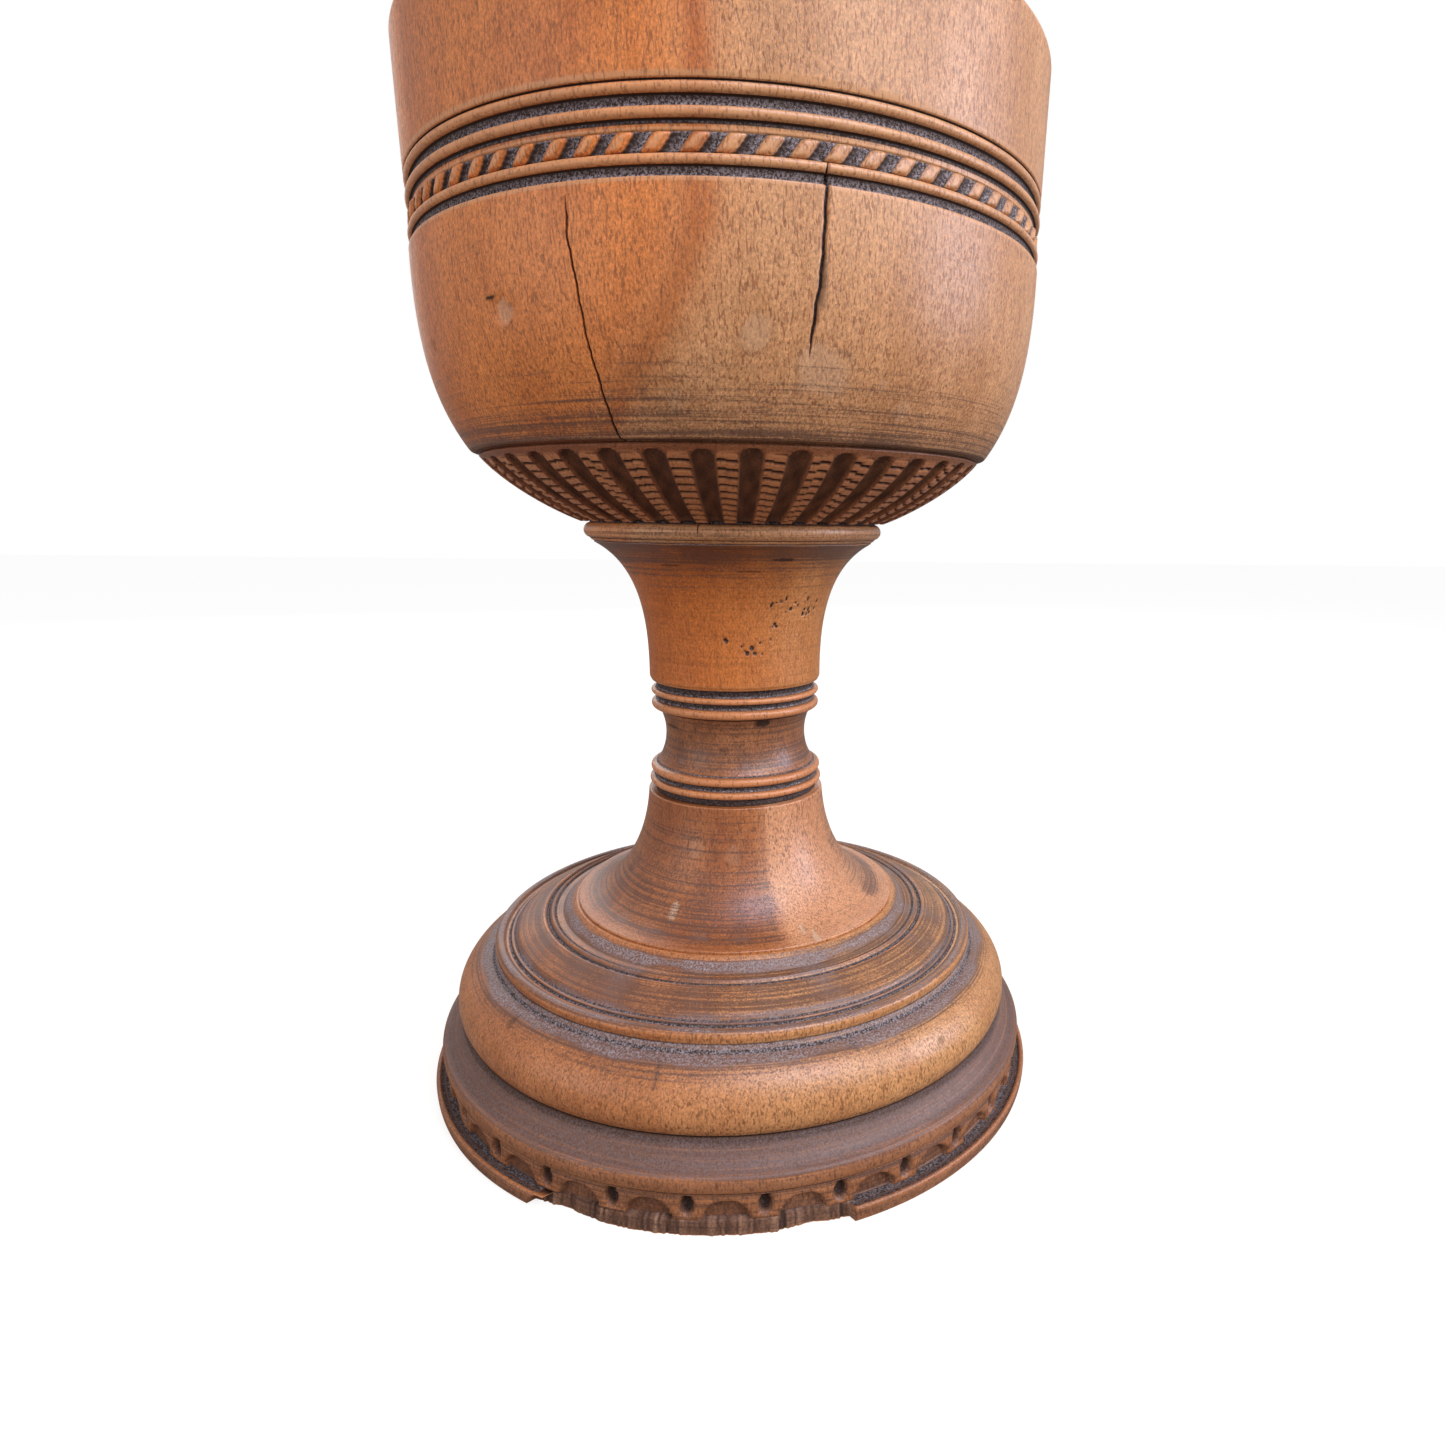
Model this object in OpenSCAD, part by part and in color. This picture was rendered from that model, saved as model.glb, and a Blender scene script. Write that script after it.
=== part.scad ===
// Turned wooden communion chalice.
// Six turned pieces stand on one another, each held by a glued tenon in a bored socket.
// Z is up, the origin is the centre of the underside, and every size is in millimetres.
// Carved patterns are counted round the axis from the front, which is -Y.

/* [Bowl] */
// Widest radius of the bowl
bowl_r = 68.7; // [64:0.1:74]
// Height of the bowl from its seat on the stem to the rim
bowl_h = 97.6; // [90:0.2:115]
// Thickness of the bowl wall
bowl_wall = 5.6; // [4:0.1:7]
// Thickness of the wall at the rim
rim_wall = 3.4; // [2.6:0.1:4]
// Thickness of wood under the middle of the hollow
bowl_floor = 14; // [12:0.5:18]
// Radius of the collar under the bowl
collar_r = 35.8; // [35:0.1:38]
// Height of the collar
collar_h = 4.2; // [3.4:0.1:5]

/* [Bowl carving] */
// Number of flutes round the underside
flute_n = 39; // [30:1:44]
// Radius of the gouge that cut the flutes
flute_r = 2.1; // [1.5:0.1:2.4]
// Depth of the flutes
flute_depth = 1.3; // [0.6:0.1:1.6]
// Height of the fluted underside
flute_h = 13.6; // [12:0.2:16]
// Height of the carved band's lower edge above the bowl's seat
band_z = 61.4; // [58:0.2:66]
// Height of the carved band
band_h = 3.2; // [2.4:0.1:5]
// Number of knobs in the band
band_n = 72; // [54:1:80]
// Depth of the four-sided chips between the knobs
chip_depth = 0.9; // [0.5:0.1:1.2]
// Slant of the knobs in degrees
band_slant = 20; // [0:5:30]
// Height of the beads on each side of the band
band_bead_h = 1.7; // [1.2:0.1:2.2]
// Height of the grooves beside the beads
band_groove_h = 1.8; // [1.2:0.1:2.4]
// Depth of the grooves beside the beads
band_groove_d = 1; // [0.6:0.1:1.4]

/* [Stem] */
// Height of the trumpet stem between its two shoulders
stem_h = 33.8; // [30:0.2:40]
// Radius at the foot of the stem
stem_r = 21.3; // [20:0.1:22.5]
// Radius of the flare under the collar
flare_r = 33.6; // [32:0.1:34.8]

/* [Knop] */
// Height of the knop between its two shoulders
knop_h = 27.9; // [26:0.1:34]
// Radius of the waist in the middle of the knop
waist_r = 17.3; // [15:0.1:18.6]
// Radius of the knop's upper rings
knop_top_r = 21; // [20.4:0.1:22]
// Radius of the knop's lower rings
knop_low_r = 21.8; // [21:0.1:22.4]
// Depth of the grooves between the rings
ring_groove = 1.2; // [0.6:0.1:1.6]

/* [Cone] */
// Height of the cone between its shoulder and the foot
cone_h = 28; // [25:0.2:34]
// Radius at the top of the cone
cone_top_r = 22.2; // [21.5:0.1:23]
// Radius of the thin edge at the bottom of the cone
cone_low_r = 40.8; // [38:0.2:43]

/* [Foot] */
// Height of the foot from the plinth to the cone
foot_h = 25; // [23:0.2:30]
// Widest radius of the round moulding
torus_r = 70.7; // [69:0.1:72]
// Radius of the raised bead on the foot
foot_bead_r = 60; // [59:0.1:61]
// Radius of the foot where it meets the plinth
foot_low_r = 69; // [67.5:0.1:70]

/* [Plinth] */
// Height of the plinth
plinth_h = 17.7; // [17:0.1:22]
// Radius of the round edge of the plinth
plinth_r = 75.1; // [74.4:0.1:76]
// Radius of the lip at the bottom
lip_r = 77; // [76.4:0.1:79]
// Height of the lip
lip_h = 3.4; // [3:0.1:4.2]
// Radius of the underside
under_r = 76.6; // [75.6:0.1:77]
// Number of notches in the carved gallery
gallery_n = 30; // [24:1:34]
// Radius of the gouge for the half-moons
moon_r = 4.6; // [3.6:0.1:5]
// Height of a half-moon above the ledge
moon_h = 4; // [3:0.1:4.4]
// Depth of the half-moons
moon_depth = 1.3; // [0.6:0.1:2]
// Height of the sill under a half-moon
moon_sill = 0.3; // [0.1:0.1:0.8]
// Radius of the notches
notch_r = 1.3; // [0.8:0.1:1.5]
// Depth of the notches
notch_depth = 1.6; // [0.8:0.1:2.4]
// Height of the notches above the ledge
notch_rise = 2.9; // [1.8:0.1:3.6]
// Angle where the broken part of the lip starts
break_from = -35; // [-50:1:-20]
// Angle where the broken part of the lip ends
break_to = 16; // [5:1:30]
// Radius left where the lip is broken away
break_r = 74.3; // [74.2:0.1:75]

/* [Joinery] */
// Radius of the bowl's tenon
bowl_tenon_r = 13; // [10:0.5:14]
// Length of the bowl's tenon
bowl_tenon_l = 20; // [14:0.5:22]
// Radius of the stem's long tenon, which carries the knop
stem_tenon_r = 9.5; // [8:0.5:11]
// Length of the stem's tenon below the knop
stem_tenon_l = 14; // [10:0.5:16]
// Radius of the cone's tenon
cone_tenon_r = 16; // [12:0.5:18]
// Length of the cone's tenon
cone_tenon_l = 15; // [10:0.5:17]
// Radius of the spigot under the foot
foot_spigot_r = 50; // [40:0.5:56]
// Length of the spigot under the foot
foot_spigot_l = 6; // [4:0.2:8]
// Room round a tenon for the glue
glue_gap = 0.1; // [0.05:0.05:0.2]
// Room past the end of a tenon
end_gap = 0.5; // [0.3:0.1:1]

/* [Hidden] */
$fn = 96;
curve_n = 14;
bead_n = 8;
over = 1;

foot_z = plinth_h;
cone_z = foot_z + foot_h;
knop_z = cone_z + cone_h;
stem_z = knop_z + knop_h;
bowl_z = stem_z + stem_h;

light_wood = [0.76, 0.50, 0.29];
orange_wood = [0.73, 0.42, 0.20];
red_wood = [0.66, 0.38, 0.24];
brown_wood = [0.55, 0.33, 0.20];

// Heights on the bowl, from its seat
flute_z = collar_h;
flute_top_z = flute_z + flute_h;
wall_z = flute_top_z + 1.6;
band_ring_h = 1.9;
rim_round = rim_wall / 2;
flute_top_r = bowl_r - 11.2;
wall_low_r = bowl_r - 9;
collar_bead_r = collar_h / 2;
flute_low_r = collar_r + 0.4;
band_r = bowl_r - 0.5;
flute_first = 3.4;
notch_first = 4;

// Heights on the plinth
ledge_z = lip_h - 0.6;
gallery_r = plinth_r - 1;
edge_low_z = plinth_h - 8.7;
edge_high_z = plinth_h - 5.1;
neck_r = gallery_r - 0.8;

// Points of a circle's arc from angle a0 to a1
function arc_points(x, y, r, a0, a1, n) =
    [for (i = [0:n]) let (a = a0 + (a1 - a0) * i / n) [x + r * cos(a), y + r * sin(a)]];

// Points of a cubic curve from p0 to p3, pulled towards p1 and p2
function curve_points(p0, p1, p2, p3, n) =
    [for (i = [0:n]) let (t = i / n, s = 1 - t)
        s * s * s * p0 + 3 * s * s * t * p1 + 3 * s * t * t * p2 + t * t * t * p3];

// Points of a half-round bead from low to high, with its crest at radius r
function bead_points(r, low, high, n) =
    let (h = (high - low) / 2)
        [for (i = [0:n]) let (a = -80 + 160 * i / n) [r - h + h * cos(a), low + h + h * sin(a)]];

// A solid turned from an outline of [radius, height] points
module turned(outline) {
    rotate_extrude() polygon(outline);
}

// A tenon that hangs below a seat at height z
module tenon(r, l, z) {
    translate([0, 0, z - l]) cylinder(r = r, h = l + over);
}

// The socket for a tenon whose seat is at height z
module socket(r, l, z) {
    depth = l + end_gap;
    translate([0, 0, z - depth]) cylinder(r = r + glue_gap, h = depth + over);
}

// Copies of the children, turned round the axis, counted from the front
module round_the_axis(n, first) {
    for (i = [0:n - 1]) rotate([0, 0, first + 360 * i / n - 90]) children();
}

// A gouge cut from [r0, z0] to [r1, z1], both on the surface, deep below it
module gouge(r0, z0, r1, z1, cutter, deep) {
    slope = atan2(r1 - r0, z1 - z0);
    length = norm([r1 - r0, z1 - z0]);
    lift = cutter - deep;
    translate([r0, 0, z0]) rotate([0, slope, 0])
        translate([lift, 0, 0]) cylinder(r = cutter, h = length, $fn = 24);
}

module bowl() {
    rim_r = bowl_r + 0.5;
    rim_z = bowl_h - rim_round;
    band_top_z = band_z + band_h;
    lower_z = band_z - band_bead_h - band_groove_h;
    step_z = band_bead_h + band_groove_h;
    inner_r = bowl_r - bowl_wall;
    flute_low_z = flute_z + 0.3;
    outside = concat(
        [[0, 0], [collar_r - 2, 0], [collar_r - 1.4, 0.5]],
        bead_points(collar_r, 0.6, collar_h, bead_n),
        curve_points([flute_low_r, flute_low_z], [bowl_r - 25.7, flute_z + 2.6],
            [bowl_r - 15.7, flute_top_z - 5.4], [flute_top_r, flute_top_z], curve_n),
        [[flute_top_r - 0.4, flute_top_z + 0.7], [wall_low_r - 0.4, wall_z - 0.4]],
        curve_points([wall_low_r, wall_z], [bowl_r - 2.9, wall_z + 8.8],
            [bowl_r, wall_z + 20], [bowl_r, lower_z], curve_n),
        band_groove(lower_z),
        bead_points(bowl_r, lower_z + band_groove_h, band_z, bead_n),
        [[band_r, band_z + 0.1], [band_r, band_top_z]],
        [for (i = [0:1]) each concat(
            band_groove(band_top_z + i * step_z),
            bead_points(bowl_r, band_top_z + i * step_z + band_groove_h,
                band_top_z + (i + 1) * step_z, bead_n))],
        [[bowl_r, band_top_z + 2 * step_z + 0.2]]);
    rim = arc_points(rim_r - rim_round, rim_z, rim_round, 0, 180, 2 * bead_n);
    inside = concat(
        [[inner_r, band_top_z + 2 * step_z]],
        curve_points([inner_r, lower_z - 6], [inner_r - 1, flute_top_z + 6],
            [inner_r * 0.58, bowl_floor], [0, bowl_floor], curve_n));
    color(light_wood) difference() {
        union() {
            turned(concat(outside, rim, inside));
            tenon(bowl_tenon_r, bowl_tenon_l, 0);
        }
        round_the_axis(flute_n, flute_first)
            gouge(flute_low_r, flute_low_z, flute_top_r + 0.8, flute_top_z + 0.5, flute_r, flute_depth);
        round_the_axis(band_n, 0) band_chip();
    }
}

// Points of a square groove in the wall that starts at height z
function band_groove(z) = let (r = bowl_r - band_groove_d)
    [[r, z + 0.2], [r, z + band_groove_h - 0.1]];

// A slanting four-sided chip between two knobs of the carved band
module band_chip() {
    translate([band_r, 0, band_z + band_h / 2]) rotate([band_slant, 0, 0])
        cylinder(r = chip_depth, h = band_h - 0.6, center = true, $fn = 4);
}

module stem() {
    chamfer = 0.5;
    outline = concat(
        [[0, 0], [stem_r - chamfer, 0]],
        [[stem_r, 2 * chamfer]],
        curve_points([stem_r, 3 * chamfer], [stem_r, stem_h * 0.4],
            [stem_r + 1.2, stem_h * 0.82], [flare_r, stem_h - 0.3], curve_n),
        [[flare_r - 0.3, stem_h], [0, stem_h]]);
    color(orange_wood) difference() {
        union() {
            turned(outline);
            tenon(stem_tenon_r, knop_h + stem_tenon_l, 0);
        }
        socket(bowl_tenon_r, bowl_tenon_l, stem_h);
    }
}

module knop() {
    low_floor_r = knop_low_r - ring_groove;
    top_floor_r = knop_top_r - ring_groove;
    outline = concat(
        [[0, 0], [low_floor_r, 0], [low_floor_r, 1.8]],
        bead_points(knop_low_r, 1.8, 3.5, bead_n),
        [[low_floor_r, 3.7], [low_floor_r, 4.7]],
        bead_points(knop_low_r - 0.3, 4.8, 6.8, bead_n),
        curve_points([knop_low_r - 1.9, 7], [waist_r - 0.1, 10.6],
            [waist_r - 0.6, knop_h - 11.4], [knop_top_r - 1.9, knop_h - 7.2], curve_n),
        bead_points(knop_top_r, knop_h - 7, knop_h - 4.8, bead_n),
        [[top_floor_r, knop_h - 4.6], [top_floor_r, knop_h - 3.5]],
        bead_points(knop_top_r, knop_h - 3.3, knop_h - 1.9, bead_n),
        [[top_floor_r, knop_h - 1.8], [top_floor_r, knop_h], [0, knop_h]]);
    color(brown_wood) difference() {
        turned(outline);
        translate([0, 0, -over]) cylinder(r = stem_tenon_r + glue_gap, h = knop_h + 2 * over);
    }
}

module cone() {
    edge_h = 0.7;
    outline = concat(
        [[0, 0], [cone_low_r, 0], [cone_low_r, edge_h - 0.2]],
        curve_points([cone_low_r - 0.2, edge_h], [cone_low_r - 9.6, edge_h + 0.6],
            [cone_top_r + 1, cone_h * 0.44], [cone_top_r, cone_h - 0.2], curve_n),
        [[cone_top_r - 0.2, cone_h], [0, cone_h]]);
    color(red_wood) difference() {
        union() {
            turned(outline);
            tenon(cone_tenon_r, cone_tenon_l, 0);
        }
        socket(stem_tenon_r, stem_tenon_l, cone_h);
    }
}

module foot() {
    ring_z = foot_h - 0.4;
    flat_in_r = cone_low_r + 8.6;
    flat_out_r = foot_bead_r - 4.6;
    cove_r = foot_bead_r + 3.4;
    cove_z = foot_h - 11.4;
    outline = concat(
        [[0, 0], [foot_low_r, 0]],
        curve_points([foot_low_r, 0.1], [torus_r + 2.3, foot_h * 0.19],
            [torus_r - 2.1, foot_h * 0.47], [cove_r, cove_z], curve_n),
        [[cove_r - 1.6, cove_z + 0.3], [foot_bead_r + 1, cove_z + 1.8]],
        arc_points(foot_bead_r, ring_z - 7.7, 1.3, -10, 150, bead_n),
        [[foot_bead_r - 2.2, ring_z - 7.3], [flat_out_r + 1, ring_z - 6.5], [flat_out_r, ring_z - 5.3]],
        [[flat_in_r, ring_z - 2.4], [flat_in_r - 1, ring_z - 3.2], [flat_in_r - 2, ring_z - 2]],
        [[flat_in_r - 2.8, ring_z - 2.6], [cone_low_r + 2, ring_z - 0.8], [cone_low_r + 1, ring_z]],
        [[cone_low_r + 0.5, foot_h], [0, foot_h]]);
    color(orange_wood) difference() {
        union() {
            turned(outline);
            tenon(foot_spigot_r, foot_spigot_l, 0);
        }
        socket(cone_tenon_r, cone_tenon_l, foot_h);
    }
}

module plinth() {
    outline = concat(
        [[0, 0], [under_r, 0]],
        curve_points([under_r, 0], [under_r + 0.3, lip_h * 0.2], [lip_r, lip_h * 0.5],
            [lip_r, lip_h - 0.5], bead_n),
        [[lip_r - 0.4, lip_h], [lip_r - 0.9, lip_h]],
        [[lip_r - 1.4, ledge_z], [gallery_r, ledge_z]],
        [[gallery_r, edge_low_z - 0.5], [neck_r, edge_low_z - 0.2], [plinth_r - 0.9, edge_low_z]],
        curve_points([plinth_r - 0.9, edge_low_z], [plinth_r + 0.3, edge_low_z + 0.7],
            [plinth_r + 0.2, edge_high_z - 0.9], [plinth_r - 1.9, edge_high_z], bead_n),
        curve_points([plinth_r - 1.9, edge_high_z], [plinth_r - 4.2, edge_high_z + 1.2],
            [foot_low_r + 1.6, plinth_h - 1.6], [foot_low_r + 0.6, plinth_h - 0.2], bead_n),
        [[foot_low_r + 0.5, plinth_h], [0, plinth_h]]);
    color(brown_wood) difference() {
        turned(outline);
        socket(foot_spigot_r, foot_spigot_l, plinth_h);
        round_the_axis(gallery_n, notch_first + 180 / gallery_n) half_moon();
        round_the_axis(gallery_n, notch_first)
            translate([gallery_r - notch_depth, 0, ledge_z + notch_rise]) rotate([0, 90, 0])
                cylinder(r = notch_r, h = notch_depth + over, $fn = 16);
        broken_lip();
    }
}

// A recess with an arched top that stands on a thin sill above the ledge
module half_moon() {
    translate([gallery_r - moon_depth, 0, ledge_z]) intersection() {
        translate([0, 0, moon_h - moon_r]) rotate([0, 90, 0]) cylinder(r = moon_r, h = moon_depth + over);
        translate([-over, -moon_r, moon_sill]) cube([moon_depth + 3 * over, 2 * moon_r, moon_h + over]);
    }
}

// The stretch of the lip that split off along the grain
module broken_lip() {
    middle = (break_from + break_to) / 2;
    half = (break_to - break_from) / 2;
    far = lip_r + under_r;
    side = far * tan(half);
    difference() {
        rotate([0, 0, middle - 90]) translate([0, 0, -over]) linear_extrude(lip_h + 2 * over)
            polygon([[0, 0], [far, -side], [far, side]]);
        turned([[0, -2 * over], [break_r, -2 * over], [break_r, ledge_z], [gallery_r + 0.1, ledge_z],
            [gallery_r + 0.1, lip_h + 2 * over], [0, lip_h + 2 * over]]);
    }
}

translate([0, 0, bowl_z]) bowl();
translate([0, 0, stem_z]) stem();
translate([0, 0, knop_z]) knop();
translate([0, 0, cone_z]) cone();
translate([0, 0, foot_z]) foot();
plinth();
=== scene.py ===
# %% Load the frame
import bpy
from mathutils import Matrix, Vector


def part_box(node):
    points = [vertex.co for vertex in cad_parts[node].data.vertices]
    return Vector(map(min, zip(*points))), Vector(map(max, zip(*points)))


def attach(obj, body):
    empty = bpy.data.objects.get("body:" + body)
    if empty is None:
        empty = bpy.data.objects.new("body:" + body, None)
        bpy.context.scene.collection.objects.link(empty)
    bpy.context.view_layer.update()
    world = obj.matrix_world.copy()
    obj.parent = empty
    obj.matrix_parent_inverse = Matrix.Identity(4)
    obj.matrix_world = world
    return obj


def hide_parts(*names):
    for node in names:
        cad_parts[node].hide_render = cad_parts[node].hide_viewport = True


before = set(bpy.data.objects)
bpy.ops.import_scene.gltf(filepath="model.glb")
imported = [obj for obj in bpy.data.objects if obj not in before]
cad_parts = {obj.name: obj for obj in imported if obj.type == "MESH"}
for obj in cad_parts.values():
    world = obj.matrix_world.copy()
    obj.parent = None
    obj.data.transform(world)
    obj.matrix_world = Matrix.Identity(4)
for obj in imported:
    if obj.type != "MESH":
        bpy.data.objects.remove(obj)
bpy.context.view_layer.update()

# %% Libraries and units
import heapq
import math

import bpy
import numpy as np
from mathutils import Matrix, Vector

MM = 0.001

# %% [markdown]
# ## Camera, floor and light
# The cup is seen from very near: the camera stands about three plinth radii away, a little above
# the middle, and looks down by about 12 degrees. A short distance makes the near rings fall
# open into wide ellipses, which a longer lens from further off would flatten. The film is shifted
# sideways, because the cup doesn't stand in the middle of what the lens sees.

# %% Camera
EYE_DISTANCE = 228.07
EYE_HEIGHT = 137.3
LENS = 22.63
SHIFT = -0.0654
YAW, PITCH, ROLL = math.radians(-5.24), math.radians(12.49), math.radians(0.71)


def turn_about(axis, angle):
    """A 4 by 4 matrix that turns by an angle about one axis."""
    return Matrix.Rotation(angle, 4, axis)


camera = bpy.data.objects.new("camera", bpy.data.cameras.new("camera"))
bpy.context.scene.collection.objects.link(camera)
camera.data.sensor_width = 36
camera.data.lens = LENS
camera.data.shift_x = SHIFT
camera.data.clip_start = 0.01
camera.matrix_world = (
    Matrix.Translation(Vector((0, -EYE_DISTANCE, EYE_HEIGHT)) * MM)
    @ turn_about("Z", YAW)
    @ turn_about("X", math.pi / 2 - PITCH)
    @ turn_about("Z", ROLL)
)
bpy.context.scene.camera = camera
print("camera", round(EYE_DISTANCE), "mm from the axis")

# %% [markdown]
# The world is white where the camera sees it, and only softly bright as a light. The floor is a
# large plain sheet. It sends little light back up, so the undersides of the bowl and the mouldings
# stay dark, and a steady glow that only the camera sees brings it up to white, with a faint soft
# shadow round the plinth.

# %% World and floor
AMBIENT = 0.62
FLOOR_SIZE = 6.0
FLOOR_GLOW = 0.82
FLOOR_COLOUR = (0.26, 0.25, 0.24, 1.0)
WHITE = (1.0, 1.0, 1.0, 1.0)


def node_adder(tree):
    """Empties a node tree and gives a short way to add nodes to it. links says what each input of
    the new node takes, another node's output or a plain value."""
    tree.nodes.clear()

    def add(kind, links=(), **settings):
        node = tree.nodes.new(kind)
        for key, value in settings.items():
            setattr(node, key, value)
        for key, source in dict(links).items():
            if hasattr(source, "is_output"):
                tree.links.new(source, node.inputs[key])
            else:
                node.inputs[key].default_value = source
        return node

    return add


def build_world():
    """The world's light: white where the camera looks, and a dim even light elsewhere."""
    world = bpy.data.worlds.new("studio")
    world.use_nodes = True
    bpy.context.scene.world = world
    add = node_adder(world.node_tree)
    seen_by_camera = add("ShaderNodeLightPath").outputs["Is Camera Ray"]
    soft = add("ShaderNodeBackground", {"Color": (0.93, 0.96, 1.0, 1.0), "Strength": AMBIENT})
    white = add("ShaderNodeBackground", {"Color": WHITE, "Strength": 1.0})
    mix = add("ShaderNodeMixShader", {0: seen_by_camera, 1: soft.outputs[0], 2: white.outputs[0]})
    add("ShaderNodeOutputWorld", {"Surface": mix.outputs[0]})


def build_floor():
    """A square sheet at height 0, with a glow that only the camera sees."""
    half = FLOOR_SIZE / 2
    mesh = bpy.data.meshes.new("floor")
    corners = [(-half, -half, 0), (half, -half, 0), (half, half, 0), (-half, half, 0)]
    mesh.from_pydata(corners, [], [(0, 1, 2, 3)])
    floor = bpy.data.objects.new("floor", mesh)
    bpy.context.scene.collection.objects.link(floor)
    sheet = bpy.data.materials.new("floor_sheet")
    sheet.use_nodes = True
    add = node_adder(sheet.node_tree)
    seen_by_camera = add("ShaderNodeLightPath").outputs["Is Camera Ray"]
    matt = add("ShaderNodeBsdfDiffuse", {"Color": FLOOR_COLOUR})
    strength = add("ShaderNodeMath", {0: seen_by_camera, 1: FLOOR_GLOW}, operation="MULTIPLY")
    light = add("ShaderNodeEmission", {"Color": WHITE, "Strength": strength.outputs[0]})
    both = add("ShaderNodeAddShader", {0: matt.outputs[0], 1: light.outputs[0]})
    add("ShaderNodeOutputMaterial", {"Surface": both.outputs[0]})
    mesh.materials.append(sheet)


build_world()
build_floor()
bpy.context.scene.view_settings.view_transform = "Standard"
print("world and floor ready")

# %% [markdown]
# The light is daylight from a large window, high on the right and a little in front, which gives
# broad pale gloss on the right of every round moulding. Sky shows as a cool patch in wax, so two
# cool panels, one above and one at the right, are there for gloss alone and don't light the wood.

# %% Lamps
def add_panel(name, place, size, power, colour, gloss_only=False):
    """A flat lamp at a place in metres that faces the middle of the cup."""
    data = bpy.data.lights.new(name, "AREA")
    data.shape = "RECTANGLE"
    data.size, data.size_y = size
    data.energy = power
    data.color = colour
    lamp = bpy.data.objects.new(name, data)
    bpy.context.scene.collection.objects.link(lamp)
    lamp.location = place
    towards = Vector((0, 0, 0.1)) - Vector(place)
    lamp.rotation_euler = towards.to_track_quat("-Z", "Y").to_euler()
    lamp.visible_camera = False
    lamp.visible_diffuse = not gloss_only


add_panel("window_right", (0.55, -0.5, 0.62), (0.5, 0.5), 7.0, (1.0, 0.97, 0.93))
add_panel("sky_gloss", (0.24, -0.46, 0.82), (0.5, 0.4), 9.0, (0.60, 0.70, 1.0), gloss_only=True)
add_panel("side_gloss", (0.85, -0.16, 0.36), (0.32, 0.42), 7.0, (0.70, 0.78, 1.0), gloss_only=True)
add_panel("fill_left", (-0.8, -0.5, 0.35), (0.6, 0.6), 2.4, (1.0, 0.96, 0.92))
add_panel("back_light", (-0.2, 0.9, 0.6), (0.9, 0.7), 5.0, (1.0, 0.98, 0.96))
print("five lamps")

# %% [markdown]
# ## Outlines
# A lathe makes every piece, so each one is an outline carried round the axis. An outline is an
# array of points, radius and height in millimetres, which runs up the outside and back to the
# axis. Straight stretches need two points; beads are arcs and the long sweeps are cubic curves.
# A real edge is never perfectly sharp, so each corner gets a small round of its own.

# %% Outline helpers
def arc(x, z, r, start, end, count=10):
    """Points on a circle: centre (x, z) plus r times (cosine, sine) of an even run of angles."""
    a = np.radians(np.linspace(start, end, count + 1))
    return np.stack([x + r * np.cos(a), z + r * np.sin(a)], axis=1)


def bead(r, low, high, count=12):
    """A half-round from height low to high whose crest is at radius r."""
    h = (high - low) / 2
    return arc(r - h, low + h, h, -80, 80, count)


def sweep(p0, p1, p2, p3, count=24):
    """A cubic curve: the four points weighted by (1-t)^3, 3(1-t)^2 t, 3(1-t) t^2 and t^3."""
    t = np.linspace(0, 1, count + 1)[:, None]
    s = 1 - t
    p0, p1, p2, p3 = (np.array(p, float) for p in (p0, p1, p2, p3))
    return s**3 * p0 + 3 * s**2 * t * p1 + 3 * s * t**2 * p2 + t**3 * p3


def soften(points, size=0.22, steps=3):
    """Rounds each corner: the corner is replaced by a quadratic curve between two points that
    lie at most size from it, and never more than 0.4 of the way to a neighbour."""
    before, here, after = points[:-2], points[1:-1], points[2:]
    back, ahead = before - here, after - here
    long_back = np.linalg.norm(back, axis=1, keepdims=True)
    long_ahead = np.linalg.norm(ahead, axis=1, keepdims=True)
    start = here + back / long_back * np.minimum(size, 0.4 * long_back)
    end = here + ahead / long_ahead * np.minimum(size, 0.4 * long_ahead)
    t = np.linspace(0, 1, steps + 1)[None, :, None]
    curve = (1 - t) ** 2 * start[:, None] + 2 * t * (1 - t) * here[:, None] + t**2 * end[:, None]
    return np.concatenate([points[:1], curve.reshape(-1, 2), points[-1:]])


def outline(*parts):
    """Joins points and stretches into one outline without repeated points."""
    points = np.concatenate([np.atleast_2d(np.array(p, float)) for p in parts])
    step = np.linalg.norm(np.diff(points, axis=0), axis=1)
    return points[np.concatenate([[True], step > 1e-3])]


def refine(points, spacing):
    """Adds points, so that no stretch of the outline is longer than spacing."""
    step = np.linalg.norm(np.diff(points, axis=0), axis=1)
    along = np.concatenate([[0], np.cumsum(step)])
    counts = np.maximum(1, np.ceil(step / spacing).astype(int))
    cuts = np.repeat(along[:-1], counts)
    first = np.repeat(np.cumsum(counts) - counts, counts)
    cuts = cuts + (np.arange(counts.sum()) - first) * np.repeat(step / counts, counts)
    cuts = np.append(cuts, along[-1])
    return np.stack([np.interp(cuts, along, column) for column in points.T], axis=1)


print("a test bead has", len(bead(10, 0, 2)), "points")

# %% [markdown]
# A piece stays under 200,000 triangles, so the rows of its grid are chosen with care. Flat end
# faces inside a joint need almost none, and a bead or a groove needs many. Rows are added one by
# one, each where the outline that is left out lies furthest from the outline that is kept.

# %% Choice of rows
TRIANGLES = 198000


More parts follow.
